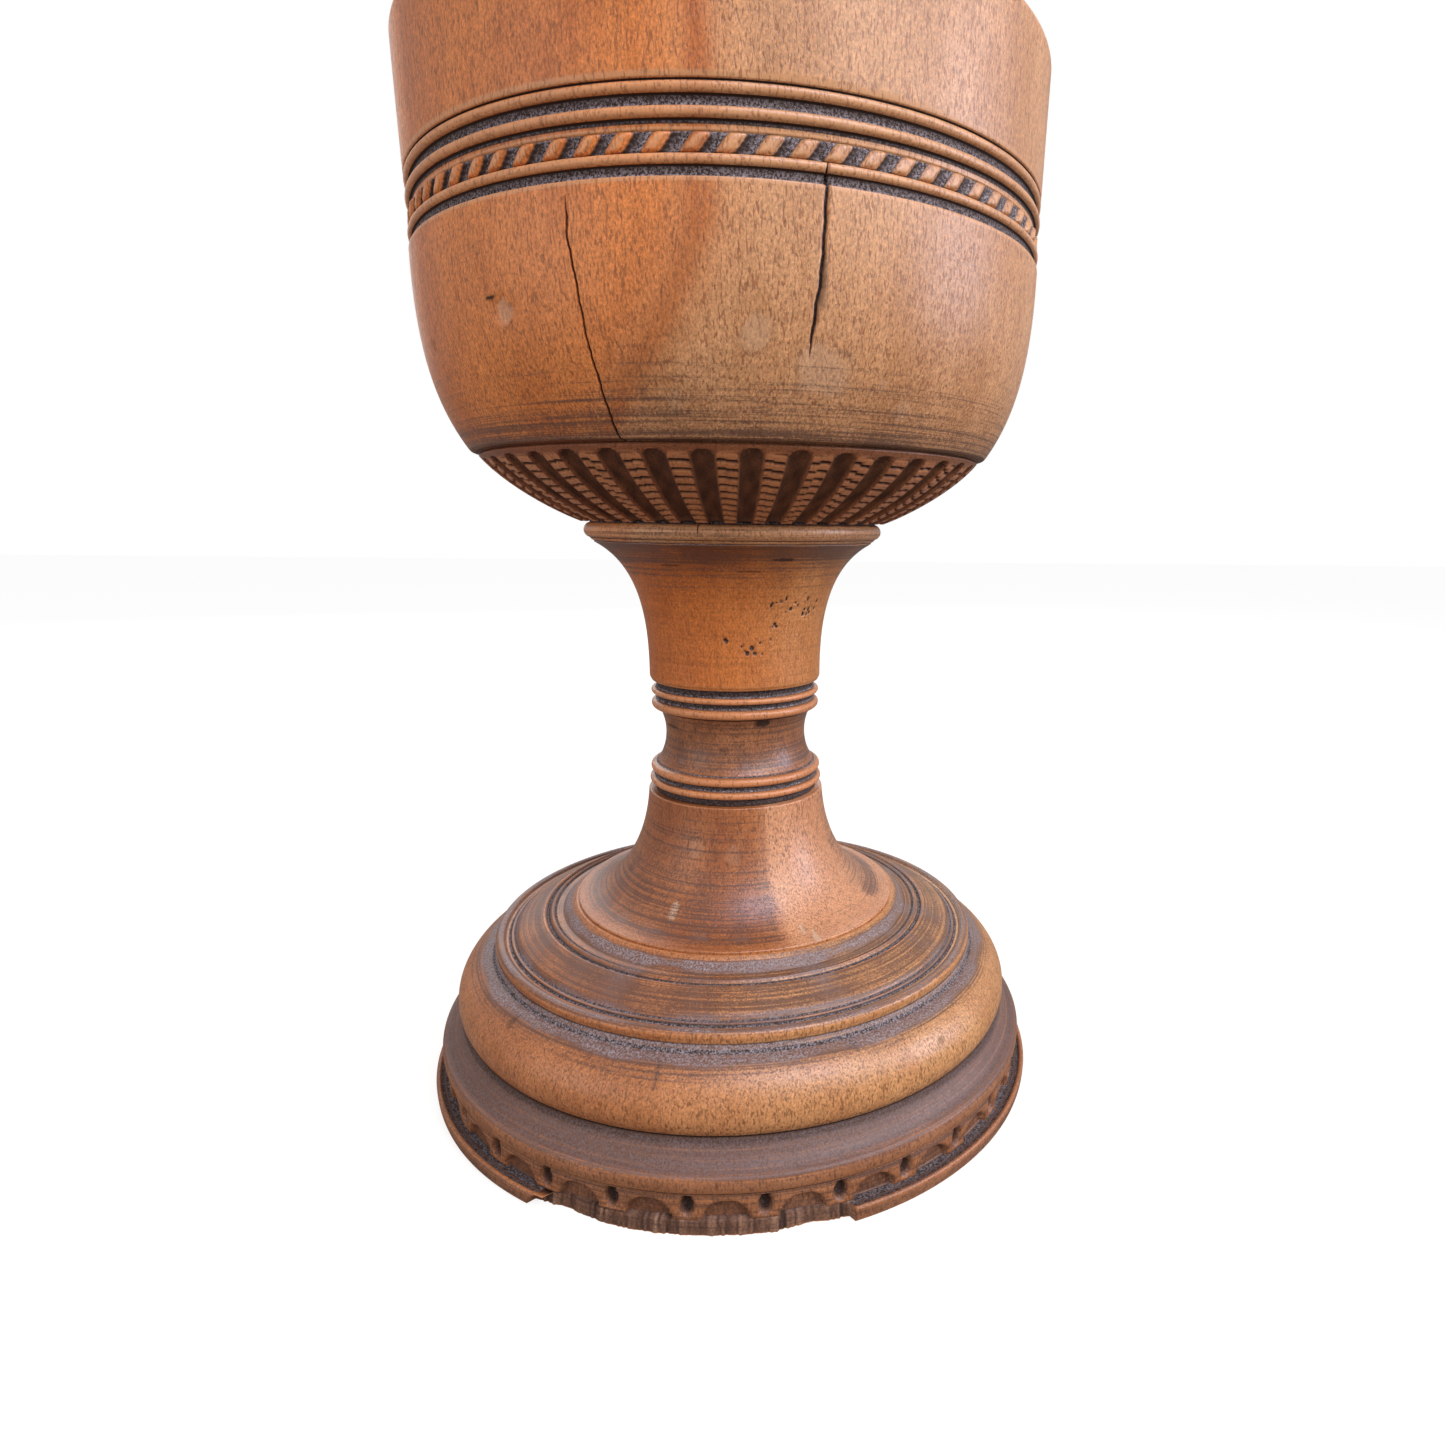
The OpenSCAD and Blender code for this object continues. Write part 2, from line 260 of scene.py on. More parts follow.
def thin(points, weight, spacing, columns, share=None):
    """The rows of an outline to keep, as row numbers. One row stays in every spacing millimetres
    of path, where share scales the path, and then the row furthest from the chord between its
    kept neighbours is added until rows = TRIANGLES / (2 columns). A row's place is
    (r, z, weight), so that dirt and painted shade count as shape."""
    path = np.column_stack([points, weight])
    share = np.ones(len(path)) if share is None else share
    steps = np.hypot(*np.diff(points, axis=0).T) * share[1:]
    travel = np.concatenate([[0], np.cumsum(steps)])
    keep = set(np.searchsorted(travel, np.arange(0, travel[-1], spacing))) | {0, len(path) - 1}

    def worst(a, b):
        """The row between a and b that lies furthest from their chord, with its distance."""
        if b - a < 2:
            return (0.0, a, a, b)
        chord, off = path[b] - path[a], path[a + 1:b] - path[a]
        along = np.clip(off @ chord / max(chord @ chord, 1e-12), 0, 1)
        far = np.linalg.norm(off - along[:, None] * chord, axis=1)
        return (-far.max(), a + 1 + int(far.argmax()), a, b)

    kept = sorted(int(k) for k in keep)
    heap = [worst(a, b) for a, b in zip(kept, kept[1:])]
    heapq.heapify(heap)
    while len(kept) < TRIANGLES // (2 * columns) and heap and heap[0][0] < 0:
        _, middle, a, b = heapq.heappop(heap)
        kept.append(middle)
        heapq.heappush(heap, worst(a, middle))
        heapq.heappush(heap, worst(middle, b))
    return np.sort(kept)


print("at 300 columns a piece has room for", TRIANGLES // 600, "rows")

# %% [markdown]
# ## From an outline to a closed solid
# The outline becomes a grid: one row per outline point and one column per angle, where angle 0 is
# the front of the cup and angles grow towards its right. The first and last rows lie on the axis
# and shrink to one point each, so the solid is closed. Dirt, painted shade and wear follow the
# shape, so each solid carries a value, hollow, that says how far a point lies below the smoothed
# outline: above zero in grooves, below zero on crests. Three more values stand beside it: mark is
# for cracks, pits and stains, and also for dirt with painted shade in grooves, chips and under
# overhangs; pale is for dried drops; and soil says how much old polish lies there, which low on
# the bowl and at the foot's lowest rows is painted shade as well.

# %% Grid helpers
def hollow_of(points, reach):
    """Three times how far each outline point lies inside the outline averaged over reach
    millimetres, measured along the outline's normal."""
    step = np.linalg.norm(np.diff(points, axis=0), axis=1)
    along = np.concatenate([[0], np.cumsum(step)])
    even = np.linspace(0, along[-1], max(8, int(along[-1] / 0.05)))
    x, z = (np.interp(even, along, points[:, k]) for k in (0, 1))
    width = max(3, int(reach / 0.05) | 1)
    kernel = np.hanning(width + 2)[1:-1]
    kernel /= kernel.sum()
    pad = width // 2
    smooth = [np.convolve(np.pad(v, pad, mode="edge"), kernel, mode="valid") for v in (x, z)]
    dx, dz = np.gradient(smooth[0]), np.gradient(smooth[1])
    size = np.maximum(np.hypot(dx, dz), 1e-9)
    away = ((smooth[0] - x) * dz - (smooth[1] - z) * dx) / size
    return 3 * np.interp(along, even, away)


def spread(columns, *rows):
    """Each list of one number for each row, repeated over all the columns."""
    return (np.repeat(row[:, None], columns, axis=1) for row in rows)


def grid_points(r, z, angle):
    """Points at (r sin angle, -r cos angle, z)."""
    return np.stack([r * np.sin(angle), -r * np.cos(angle), z], axis=-1)


def fill_mesh(name, points, faces, values):
    """A smooth mesh from points in millimetres, arrays of faces, and one value for each point."""
    loops = np.concatenate([part.ravel() for part in faces]).astype(np.int32)
    sizes = np.concatenate([np.full(len(part), part.shape[1]) for part in faces])
    mesh = bpy.data.meshes.new(name)
    mesh.vertices.add(len(points))
    mesh.vertices.foreach_set("co", (points * MM).ravel())
    mesh.loops.add(len(loops))
    mesh.loops.foreach_set("vertex_index", loops)
    mesh.polygons.add(len(sizes))
    mesh.polygons.foreach_set("loop_start", (np.cumsum(sizes) - sizes).astype(np.int32))
    mesh.polygons.foreach_set("use_smooth", np.ones(len(sizes), bool))
    mesh.update(calc_edges=True)
    for key, value in values.items():
        layer = mesh.attributes.new(key, "FLOAT", "POINT")
        layer.data.foreach_set("value", value.astype(np.float32))
    return mesh


def solid_mesh(name, r, z, angle, values):
    """A closed mesh from a grid of radius, height and angle, all in rows by columns. The first and
    last rows lie on the axis, one point each."""
    rows, cols = r.shape
    grid = grid_points(r, z, angle)[1:-1].reshape(-1, 3)
    ends = np.array([[0, 0, z[0, 0]], [0, 0, z[-1, 0]]])
    i = np.arange(rows - 3)[:, None] * cols
    j = np.arange(cols)
    k = (j + 1) % cols
    quads = np.stack([i + j, i + k, i + cols + k, i + cols + j], axis=-1).reshape(-1, 4)
    top = (rows - 3) * cols
    low = np.stack([k, j, np.full(cols, len(grid))], axis=-1)
    high = np.stack([top + j, top + k, np.full(cols, len(grid) + 1)], axis=-1)
    flat = {key: np.append(np.broadcast_to(value, (rows, cols))[1:-1], [0.0, 0.0])
            for key, value in values.items()}
    return fill_mesh(name, np.concatenate([grid, ends]), [quads, low, high], flat)


def ring_mesh(name, r, z, angle, back, values):
    """A closed ring from the grid of a carved face and a plain back, a few points of radius and
    height that lead from the last row to the first one again. All values are 0 on the back."""
    count, cols = len(back), r.shape[1]
    hidden = [*spread(cols, back[:, 0], back[:, 1]), np.repeat(angle[:1], count, axis=0)]
    grids = [np.concatenate(pair) for pair in zip((r, z, angle), hidden)]
    i = np.arange(len(r) + count)[:, None]
    j = np.arange(cols)
    up, on = (i + 1) % len(i), (j + 1) % cols
    quads = np.stack([i * cols + j, i * cols + on, up * cols + on, up * cols + j], axis=-1)
    flat = {key: np.concatenate([value.ravel(), np.zeros(count * cols)])
            for key, value in values.items()}
    points = grid_points(*grids).reshape(-1, 3)
    return fill_mesh(name, points, [quads.reshape(-1, 4)], flat)


def place(name, mesh, material, node, slot):
    """Makes the mesh a piece of the cup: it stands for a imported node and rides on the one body."""
    piece = bpy.data.objects.new(name, mesh)
    bpy.context.scene.collection.objects.link(piece)
    mesh.materials.append(material)
    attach(piece, "root")
    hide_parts(node)
    print(name, "has", sum(len(p.vertices) - 2 for p in mesh.polygons), "triangles")


def even_angles(count):
    """Angles in radians, evenly spread over the full turn, starting at the back."""
    return np.linspace(-math.pi, math.pi, count, endpoint=False)[None, :]


print("grid helpers ready")

# %% [markdown]
# ## Finishes
# All six pieces are cut from the same pale, close-grained timber with the grain upright, stained
# and waxed. The effects that they share are node groups, each built once: the grain with its
# short dark flecks, the fine lines that the turning tool left, and the dirt and dust of the
# grooves, where the dirt also paints the shade in them and the dust's lilac paints the sky's
# reflection. The material puts them together with its own colours, and keeps the shader itself.

# %% Node helpers
FLOAT, COLOUR, VECTOR = "NodeSocketFloat", "NodeSocketColor", "NodeSocketVector"


def group_tree(name, takes, gives):
    """An empty shader node group with named inputs and outputs, and a way to add nodes."""
    tree = bpy.data.node_groups.new(name, "ShaderNodeTree")
    for label, kind, value in takes:
        socket = tree.interface.new_socket(label, in_out="INPUT", socket_type=kind)
        if value is not None:
            socket.default_value = value
    for label, kind in gives:
        tree.interface.new_socket(label, in_out="OUTPUT", socket_type=kind)
    add = node_adder(tree)
    start = tree.nodes.new("NodeGroupInput").outputs
    end = tree.nodes.new("NodeGroupOutput").inputs
    return tree, add, start, end


def maths(add, operation, a, b=0.0):
    """One Math node: operation on a and b, which are numbers or outputs."""
    return add("ShaderNodeMath", {0: a, 1: b}, operation=operation).outputs[0]


def times(add, a, b):
    """a times b."""
    return maths(add, "MULTIPLY", a, b)


def plus(add, a, b):
    """a plus b."""
    return maths(add, "ADD", a, b)


def higher(add, a, b):
    """The higher one of a and b."""
    return maths(add, "MAXIMUM", a, b)


def swing(add, value, amount):
    """(value - 0.5) times amount: a noise, which is 0.5 on average, as a change either way."""
    return times(add, maths(add, "SUBTRACT", value, 0.5), amount)


def stretched(add, vector, across, along):
    """A position in millimetres, times across in X and Y and along in Z."""
    scale = (across / MM, across / MM, along / MM)
    return add("ShaderNodeVectorMath", {0: vector, 1: scale}, operation="MULTIPLY").outputs[0]


def noise(add, vector, detail=2.0, rough=0.5):
    """A Noise Texture's value, about 0.5 on average, with cells of one unit of the vector."""
    links = {"Vector": vector, "Scale": 1.0, "Detail": detail, "Roughness": rough}
    return add("ShaderNodeTexNoise", links).outputs["Fac"]


def between(add, value, low, high):
    """0 where the value is under low, 1 where it is over high, and smooth in between."""
    links = {"Value": value, "From Min": low, "From Max": high}
    return add("ShaderNodeMapRange", links, interpolation_type="SMOOTHSTEP").outputs["Result"]


def blend_colours(add, factor, a, b):
    """Colour a where the factor is 0 and colour b where it is 1; both are colours or outputs."""
    node = add("ShaderNodeMix", {0: factor, 6: a, 7: b}, data_type="RGBA", clamp_factor=True)
    return node.outputs[2]


print("node helpers ready")

# %% [markdown]
# The grain is read in three sizes. Slow clouds, many times taller than wide, shift the colour
# between two tones. Thin upright streaks run through them. Short dark flecks, about 0.4 mm wide
# and 1.6 mm tall, are the rays of the timber seen edge-on.

# %% Grain group
def build_grain():
    """Colour and height of upright grain at an object position."""
    tree, add, start, end = group_tree(
        "upright_grain",
        [
            ("Vector", VECTOR, None),
            ("Light", COLOUR, WHITE),
            ("Dark", COLOUR, WHITE),
            ("Fleck", COLOUR, WHITE),
            ("Fleck Amount", FLOAT, 0.7),
            ("Speckle", FLOAT, 0.3),
        ],
        [("Color", COLOUR), ("Flecks", FLOAT), ("Height", FLOAT)],
    )
    place_at = start["Vector"]
    clouds = between(add, noise(add, stretched(add, place_at, 0.06, 0.018), 4.0, 0.6), 0.34, 0.66)
    streaks = noise(add, stretched(add, place_at, 1.1, 0.05), 3.0, 0.65)
    tone = plus(add, times(add, clouds, 0.62), times(add, between(add, streaks, 0.3, 0.7), 0.38))
    base = blend_colours(add, tone, start["Dark"], start["Light"])
    warp = noise(add, stretched(add, place_at, 0.5, 0.5), 2.0)
    fleck_field = noise(add, stretched(add, place_at, 2.4, 0.62), 2.0, 0.55)
    flecks = between(add, plus(add, fleck_field, swing(add, warp, 0.16)), 0.53, 0.63)
    base = blend_colours(add, times(add, flecks, start["Fleck Amount"]), base, start["Fleck"])
    fine = noise(add, stretched(add, place_at, 2.4, 1.5), 3.0, 0.8)
    value = plus(add, swing(add, fine, start["Speckle"]), 1.0)
    toned = add("ShaderNodeVectorMath", {0: base, "Scale": value}, operation="SCALE")
    tree.links.new(toned.outputs[0], end["Color"])
    tree.links.new(flecks, end["Flecks"])
    height = maths(add, "SUBTRACT", times(add, streaks, 0.3), times(add, flecks, 0.7))
    tree.links.new(height, end["Height"])
    return tree


GRAIN = build_grain()
print("grain group:", len(GRAIN.nodes), "nodes")

# %% [markdown]
# A turning tool leaves fine rings. They depend only on the distance from the axis and on height,
# so the group turns the position into those two numbers and reads a noise that is thin across
# the rings and almost even along them.

# %% Turning group
RINGS_PER_MM = 1.6


def build_turning():
    """A value from 0 to 1 in fine rings about the axis."""
    tree, add, start, end = group_tree(
        "turning_lines",
        [("Vector", VECTOR, None)],
        [("Value", FLOAT)],
    )
    parts = add("ShaderNodeSeparateXYZ", {0: stretched(add, start["Vector"], 1.0, 1.0)}).outputs
    flat = add("ShaderNodeCombineXYZ", {0: parts[0], 1: parts[1], 2: 0.0}).outputs[0]
    radius = add("ShaderNodeVectorMath", {0: flat}, operation="LENGTH").outputs["Value"]
    rings = add("ShaderNodeCombineXYZ", {
        0: times(add, radius, RINGS_PER_MM), 1: times(add, parts[2], RINGS_PER_MM),
        2: times(add, parts[0], 0.02),
    }).outputs[0]
    tree.links.new(noise(add, rings, 3.0, 0.7), end["Value"])
    return tree


TURNING = build_turning()
print("turning group:", len(TURNING.nodes), "nodes")

# %% [markdown]
# Dirt is near black and fills every groove, and the same black paints the shade that falls in
# grooves and recesses; on the crests the wax and stain are rubbed away to a lighter orange. A thin
# brown film of old polish, broken by the tool's lines, darkens the parts that no hand rubs, and low
# on the bowl and at the foot's lowest rows it paints shade as well. Dust is a cool lilac grey,
# speckled, and thins out where a groove faces downwards; its lilac also paints the sky's reflection
# on faces that look up.

# %% Patina group
def build_patina():
    """Dirt with painted shade, dust with a painted sky reflection, film and rubbed crests over a wood
    colour, led by hollow, mark and soil.
    """
    tree, add, start, end = group_tree(
        "patina",
        [
            ("Vector", VECTOR, None),
            ("Up", FLOAT, 0.0),
            ("Hollow", FLOAT, 0.0),
            ("Mark", FLOAT, 0.0),
            ("Soil", FLOAT, 0.0),
            ("Lines", FLOAT, 0.5),
            ("Color", COLOUR, WHITE),
            ("Worn", COLOUR, WHITE),
            ("Dirt and Shade", COLOUR, (0.03, 0.012, 0.006, 1.0)),
            ("Film and Shade", COLOUR, (0.105, 0.049, 0.036, 1.0)),
            ("Dust and Sheen", COLOUR, (0.40, 0.345, 0.39, 1.0)),
            ("Dust Amount", FLOAT, 0.9),
            ("Wear Amount", FLOAT, 0.6),
        ],
        [("Color", COLOUR), ("Dull", FLOAT), ("Height", FLOAT)],
    )
    grains = noise(add, stretched(add, start["Vector"], 2.3, 2.3), 3.0, 0.8)
    patches = noise(add, stretched(add, start["Vector"], 0.25, 0.25), 3.0, 0.6)
    uneven = swing(add, patches, 0.3)
    hollow = times(add, start["Hollow"], plus(add, uneven, 1.0))
    crest = between(add, times(add, start["Hollow"], -1.0), 0.04, 0.3)
    worn = blend_colours(add, times(add, crest, start["Wear Amount"]), start["Color"], start["Worn"])
    blotch = plus(add, start["Soil"], times(add, uneven, 0.8))
    blotch = plus(add, blotch, swing(add, start["Lines"], 2.6))
    blotch = plus(add, blotch, swing(add, grains, 1.7))
    # The film follows soil; low on the bowl and at the foot's lowest rows it paints shade.
    film_and_shade = times(add, between(add, blotch, 0.25, 0.95), between(add, start["Soil"], 0.0, 0.2))
    worn = blend_colours(add, times(add, film_and_shade, 0.85), worn, start["Film and Shade"])
    # Near-black in grooves and recesses: dirt, and painted shade that falls there.
    dirt_and_shade = higher(add, between(add, hollow, 0.06, 0.26), between(add, start["Mark"], 0.1, 0.8))
    dirtied_and_shaded = blend_colours(add, dirt_and_shade, worn, start["Dirt and Shade"])
    lying = between(add, start["Up"], -0.4, 0.4)
    specks = times(add, between(add, grains, 0.42, 0.62), start["Dust Amount"])
    # Dust on faces that look up; its lilac grey also paints the sky's reflection there.
    dust_and_sheen_mask = higher(add, between(add, hollow, 0.1, 0.35), between(add, start["Soil"], 0.75, 1.1))
    dust_and_sheen_mask = higher(add, dust_and_sheen_mask, times(add, between(add, start["Mark"], 0.75, 0.8), 0.5))
    dust = times(add, times(add, dust_and_sheen_mask, lying), specks)
    tree.links.new(blend_colours(add, dust, dirtied_and_shaded, start["Dust and Sheen"]), end["Color"])
    tree.links.new(higher(add, dirt_and_shade, dust), end["Dull"])
    tree.links.new(times(add, grains, dust), end["Height"])
    return tree


PATINA = build_patina()
print("patina group:", len(PATINA.nodes), "nodes")

# %% [markdown]
# The colour of the cup changes round the axis as well: the left is a deep orange brown and the
# right a paler yellow tan. Part of this is the timber's own tone, and part is painted light: the
# right side is made paler where the window on the right falls on it. Each material gives both
# pairs of colours and mixes them by the side that a point lies on.

# %% Wood material
EDGE_TOP = 187  # mm
DROP_COLOUR = (0.62, 0.45, 0.33)


def rgba(colour):
    """A colour of three numbers with full cover."""
    return (*colour, 1.0)


def carried(add, key):
    """A value that the mesh carries at each of its points."""
    return add("ShaderNodeAttribute", attribute_name=key).outputs["Fac"]


def sides(add, at, drift, turn, lean, soft):
    """Two values: 0 to 1 from the left side of the cup to the right one, and 1 on the edge
    between them. The right side's paler colours are partly painted light from the window.
    Behind the cup the right side fades back into the left one."""
    parts = add("ShaderNodeSeparateXYZ", {0: at}).outputs
    bearing = maths(add, "ARCTAN2", parts[0], times(add, parts[1], -1.0))
    behind = between(add, bearing, math.radians(172), math.radians(138))
    drop = times(add, maths(add, "SUBTRACT", EDGE_TOP * MM, parts[2]), 1 / MM)
    drop = maths(add, "POWER", higher(add, drop, 0.0), 1.7)
    bearing = plus(add, bearing, times(add, drop, math.radians(lean)))
    bearing = maths(add, "SUBTRACT", bearing, math.radians(turn))
    bearing = plus(add, bearing, swing(add, drift, math.radians(soft) * 0.8))
    side = between(add, bearing, -math.radians(soft), math.radians(soft))
    edge = between(add, maths(add, "ABSOLUTE", bearing), math.radians(3.2), 0.0)
    return times(add, side, behind), edge


def wood(name, left, right, fleck, worn, flecks=0.55, speckle=1.9, lines=0.1, dust=0.9, wear=0.6,
         gloss=0.42, turn=0.0, lean=0.0, soft=40.0, line=0.0):
    """A waxed wood. left and right are pairs of light and dark colours; the right pair is paler
    partly as painted light from the window on the right. turn is the bearing in degrees of the
    boundary between them at the height EDGE_TOP. Below that it curves to the left by lean times
    the drop in millimetres to the power 1.7. soft is half its width in degrees, and line how dark
    the heartwood's edge shows there."""
    material = bpy.data.materials.new(name)
    material.use_nodes = True
    add = node_adder(material.node_tree)
    coordinates = add("ShaderNodeTexCoord").outputs
    at = coordinates["Object"]
    normal = add("ShaderNodeSeparateXYZ", {0: coordinates["Normal"]}).outputs
    drift = noise(add, stretched(add, at, 0.05, 0.02), 3.0, 0.6)
    side, edge = sides(add, at, drift, turn, lean, soft)
    # The right colours are paler partly as painted light from the window on the right.
    light = blend_colours(add, side, rgba(left[0]), rgba(right[0]))
    light = blend_colours(add, times(add, edge, line), light, rgba(left[1]))
    dark = blend_colours(add, side, rgba(left[1]), rgba(right[1]))
    grain = add("ShaderNodeGroup", {
        "Vector": at, "Light": light, "Dark": dark, "Fleck": rgba(fleck), "Fleck Amount": flecks,
        "Speckle": speckle,
    }, node_tree=GRAIN).outputs
    rings = add("ShaderNodeGroup", {"Vector": at}, node_tree=TURNING).outputs["Value"]
    shade = plus(add, swing(add, rings, 4 * lines), 1.0)
    shaded = add("ShaderNodeVectorMath", {0: grain["Color"], "Scale": shade}, operation="SCALE")
    lightened = blend_colours(add, carried(add, "pale"), shaded.outputs[0], rgba(DROP_COLOUR))
    ticks = times(add, grain["Flecks"], 0.8 * flecks)
    patina = add("ShaderNodeGroup", {
        "Vector": at, "Up": normal[2], "Hollow": carried(add, "hollow"),
        "Mark": carried(add, "mark"), "Soil": carried(add, "soil_and_shade"), "Lines": rings,
        "Color": lightened, "Worn": blend_colours(add, ticks, rgba(worn), rgba(fleck)),
        "Dust Amount": dust, "Wear Amount": wear,
    }, node_tree=PATINA).outputs
    height = plus(add, times(add, grain["Height"], 0.5), times(add, rings, 3 * lines))
    height = plus(add, height, patina["Height"])
    bump = add("ShaderNodeBump", {"Height": height, "Strength": 0.55, "Distance": 0.16 * MM})
    rough = plus(add, times(add, drift, 0.16), gloss - 0.08)
    rough = plus(add, times(add, patina["Dull"], 0.45), rough)
    shader = add("ShaderNodeBsdfPrincipled", {
        "Base Color": patina["Color"], "Roughness": rough, "Normal": bump.outputs["Normal"],
        "Specular IOR Level": 0.32,
    })
    add("ShaderNodeOutputMaterial", {"Surface": shader.outputs["BSDF"]})
    return material


# Each right pair is paler than the left partly as painted light from the window on the right.
BOWL_WOOD = wood(
    "bowl_wood", left=((0.70, 0.225, 0.058), (0.48, 0.13, 0.028)),
    right=((0.62, 0.31, 0.15), (0.44, 0.195, 0.078)), fleck=(0.24, 0.07, 0.022),
    worn=(0.68, 0.34, 0.17), lines=0.04, turn=-4, lean=0.044, soft=9, line=1.0, speckle=2.2,
    flecks=0.62,
)
STEM_WOOD = wood(
    "stem_wood", left=((0.58, 0.165, 0.034), (0.42, 0.10, 0.016)),
    right=((0.62, 0.26, 0.09), (0.46, 0.16, 0.04)), fleck=(0.20, 0.06, 0.02),
    worn=(0.60, 0.28, 0.12), flecks=0.4, lines=0.22, turn=15,
)
KNOP_WOOD = wood(
    "knop_wood", left=((0.42, 0.16, 0.065), (0.26, 0.085, 0.03)),
    right=((0.46, 0.19, 0.09), (0.30, 0.11, 0.045)), fleck=(0.08, 0.03, 0.014),
    worn=(0.66, 0.26, 0.11), wear=0.95, gloss=0.36,
)
CONE_WOOD = wood(
    "cone_wood", left=((0.46, 0.165, 0.06), (0.30, 0.09, 0.032)),
    right=((0.66, 0.32, 0.175), (0.54, 0.235, 0.12)), fleck=(0.12, 0.04, 0.02),
    worn=(0.66, 0.28, 0.12), turn=16, soft=7, line=0.3, gloss=0.36,
)
FOOT_WOOD = wood(
    "foot_wood", left=((0.50, 0.19, 0.075), (0.36, 0.12, 0.042)),
    right=((0.62, 0.31, 0.135), (0.47, 0.20, 0.075)), fleck=(0.15, 0.055, 0.02),
    worn=(0.64, 0.235, 0.085), lines=0.08, wear=0.95, gloss=0.36, flecks=0.65, speckle=2.2, dust=0.75,
)
PLINTH_WOOD = wood(
    "plinth_wood", left=((0.34, 0.14, 0.07), (0.22, 0.08, 0.036)),
    right=((0.38, 0.17, 0.09), (0.25, 0.10, 0.05)), fleck=(0.08, 0.035, 0.02),
    worn=(0.46, 0.17, 0.062), flecks=0.6, lines=0.12, wear=0.9, gloss=0.5, dust=0.45, speckle=2.4,
)
print("six woods")

# %% [markdown]
# ## Marks of age
# Cracks, dents and pits are set out one by one, by angle from the front and by height, because
# each is one event in the life of this cup. A crack is a narrow dark cut along a path. A spot is a
# round stain or dent with a ragged edge.

# %% Marks of age
SEAT = {node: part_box(node)[1].z / MM for node in ("plinth", "foot", "cone", "knop", "stem")}
RIM_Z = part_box("bowl")[1].z / MM


def ripple(*terms):
    """A fixed ragged pattern between about -1 and 1: the mean of a sine of each term."""
    return sum(np.sin(term) for term in terms) / len(terms)


def ragged(angle, z, scale=1.0):
    """A ragged field over the surface, with bumps of about scale millimetres."""
    u, v = angle * 60 / scale, z / scale
    return ripple(2.1 * u + 1.7 * np.sin(0.9 * v), 1.9 * v + 2.3 * np.sin(0.7 * u),
                  1.3 * (u + v) + 0.8)


def crack_turn(path, z):
    """The angle of a crack at the height z, with a slight wobble. path holds pairs of an angle in
    degrees and a height."""
    heights, turns = np.array(sorted((height, turn) for turn, height in path)).T
    wobble = 0.0011 * np.sin(1.3 * z) + 0.0007 * np.sin(3.7 * z + 1)
    return np.interp(z, heights, np.radians(turns)) + wobble


def crack_field(path, r, z, angle, width):
    """1 in the middle of a crack and 0 outside it. The distance is |angle - crack's angle| times
    r, compared with half the width, and the crack narrows towards its ends."""
    low, high = min(height for _, height in path), max(height for _, height in path)
    ends = np.clip(np.minimum(z - low, high - z) / 4, 0.25, 1)
    off = np.abs(angle - crack_turn(path, z)) * r
    return ((z > low) & (z < high)) * np.clip(1.35 - off / (width / 2 * ends), 0, 1)


def spot_field(spots, r, z, angle):
    """The strongest of a list of round spots (degrees, height, size across, size up, strength)."""
    field = np.zeros(np.broadcast(r, z, angle).shape)
    for turn, height, wide, tall, strength in spots:
        across = (angle - math.radians(turn)) * r / (wide / 2)
        up = (z - height) / (tall / 2)
        edge = 0.22 * ragged(angle, z, 0.9)
        near = np.clip(1.4 - np.hypot(across, up) - edge, 0, 1)
        field = np.maximum(field, strength * np.minimum(near * 1.6, 1))
    return field


def drop_field(drops, r, z, angle):
    """Dried drops: a pale inside and a dark ragged outline, as (pale, dark) fields."""
    pale = np.zeros(np.broadcast(r, z, angle).shape)
    dark = pale.copy()
    for turn, height, wide, tall, strength in drops:
        across = (angle - math.radians(turn)) * r / (wide / 2)
        up = (z - height) / (tall / 2)
        far = np.hypot(across, up) + 0.2 * ragged(angle, z, 2.2)
        pale = np.maximum(pale, strength * np.clip((1 - far) * 5, 0, 1))
        dark = np.maximum(dark, 0.42 * np.clip(1 - np.abs(far - 1.02) * 8, 0, 1))
    return pale, dark


CRACK_LEFT = [(-23.0, 189), (-23.2, 182), (-22.5, 177), (-22.0, 171), (-21.7, 166), (-21.1, 162),
              (-20.7, 157), (-20.4, 154), (-20.0, 151), (-16.4, 144), (-12.4, 137), (-12.2, 134)]
CRACK_RIGHT = [(13.1, 195), (12.9, 189), (12.7, 182), (12.4, 176), (12.0, 173), (11.6, 168),
               (11.3, 164.5)]
print("seats at", SEAT, "and the rim at", RIM_Z)

# %% [markdown]
# ## Bowl
# The wall rises in one long curve to three beads and a carved band. Columns of the grid lean with
# the two cracks, so that a cut half a millimetre wide keeps a clean edge. Under the fluted
# ring and the carved band the body is cut back, and the carving is a closed ring of its own.

# %% Bowl outline
COLLAR_R, BOWL_R, INNER_R = 35.8, 68.7, 63.1
BOWL_COLUMNS = 352


def groove(r, low, high):
    """A square groove with its floor at radius r."""
    return [[r, low + 0.15], [r, high - 0.1]]


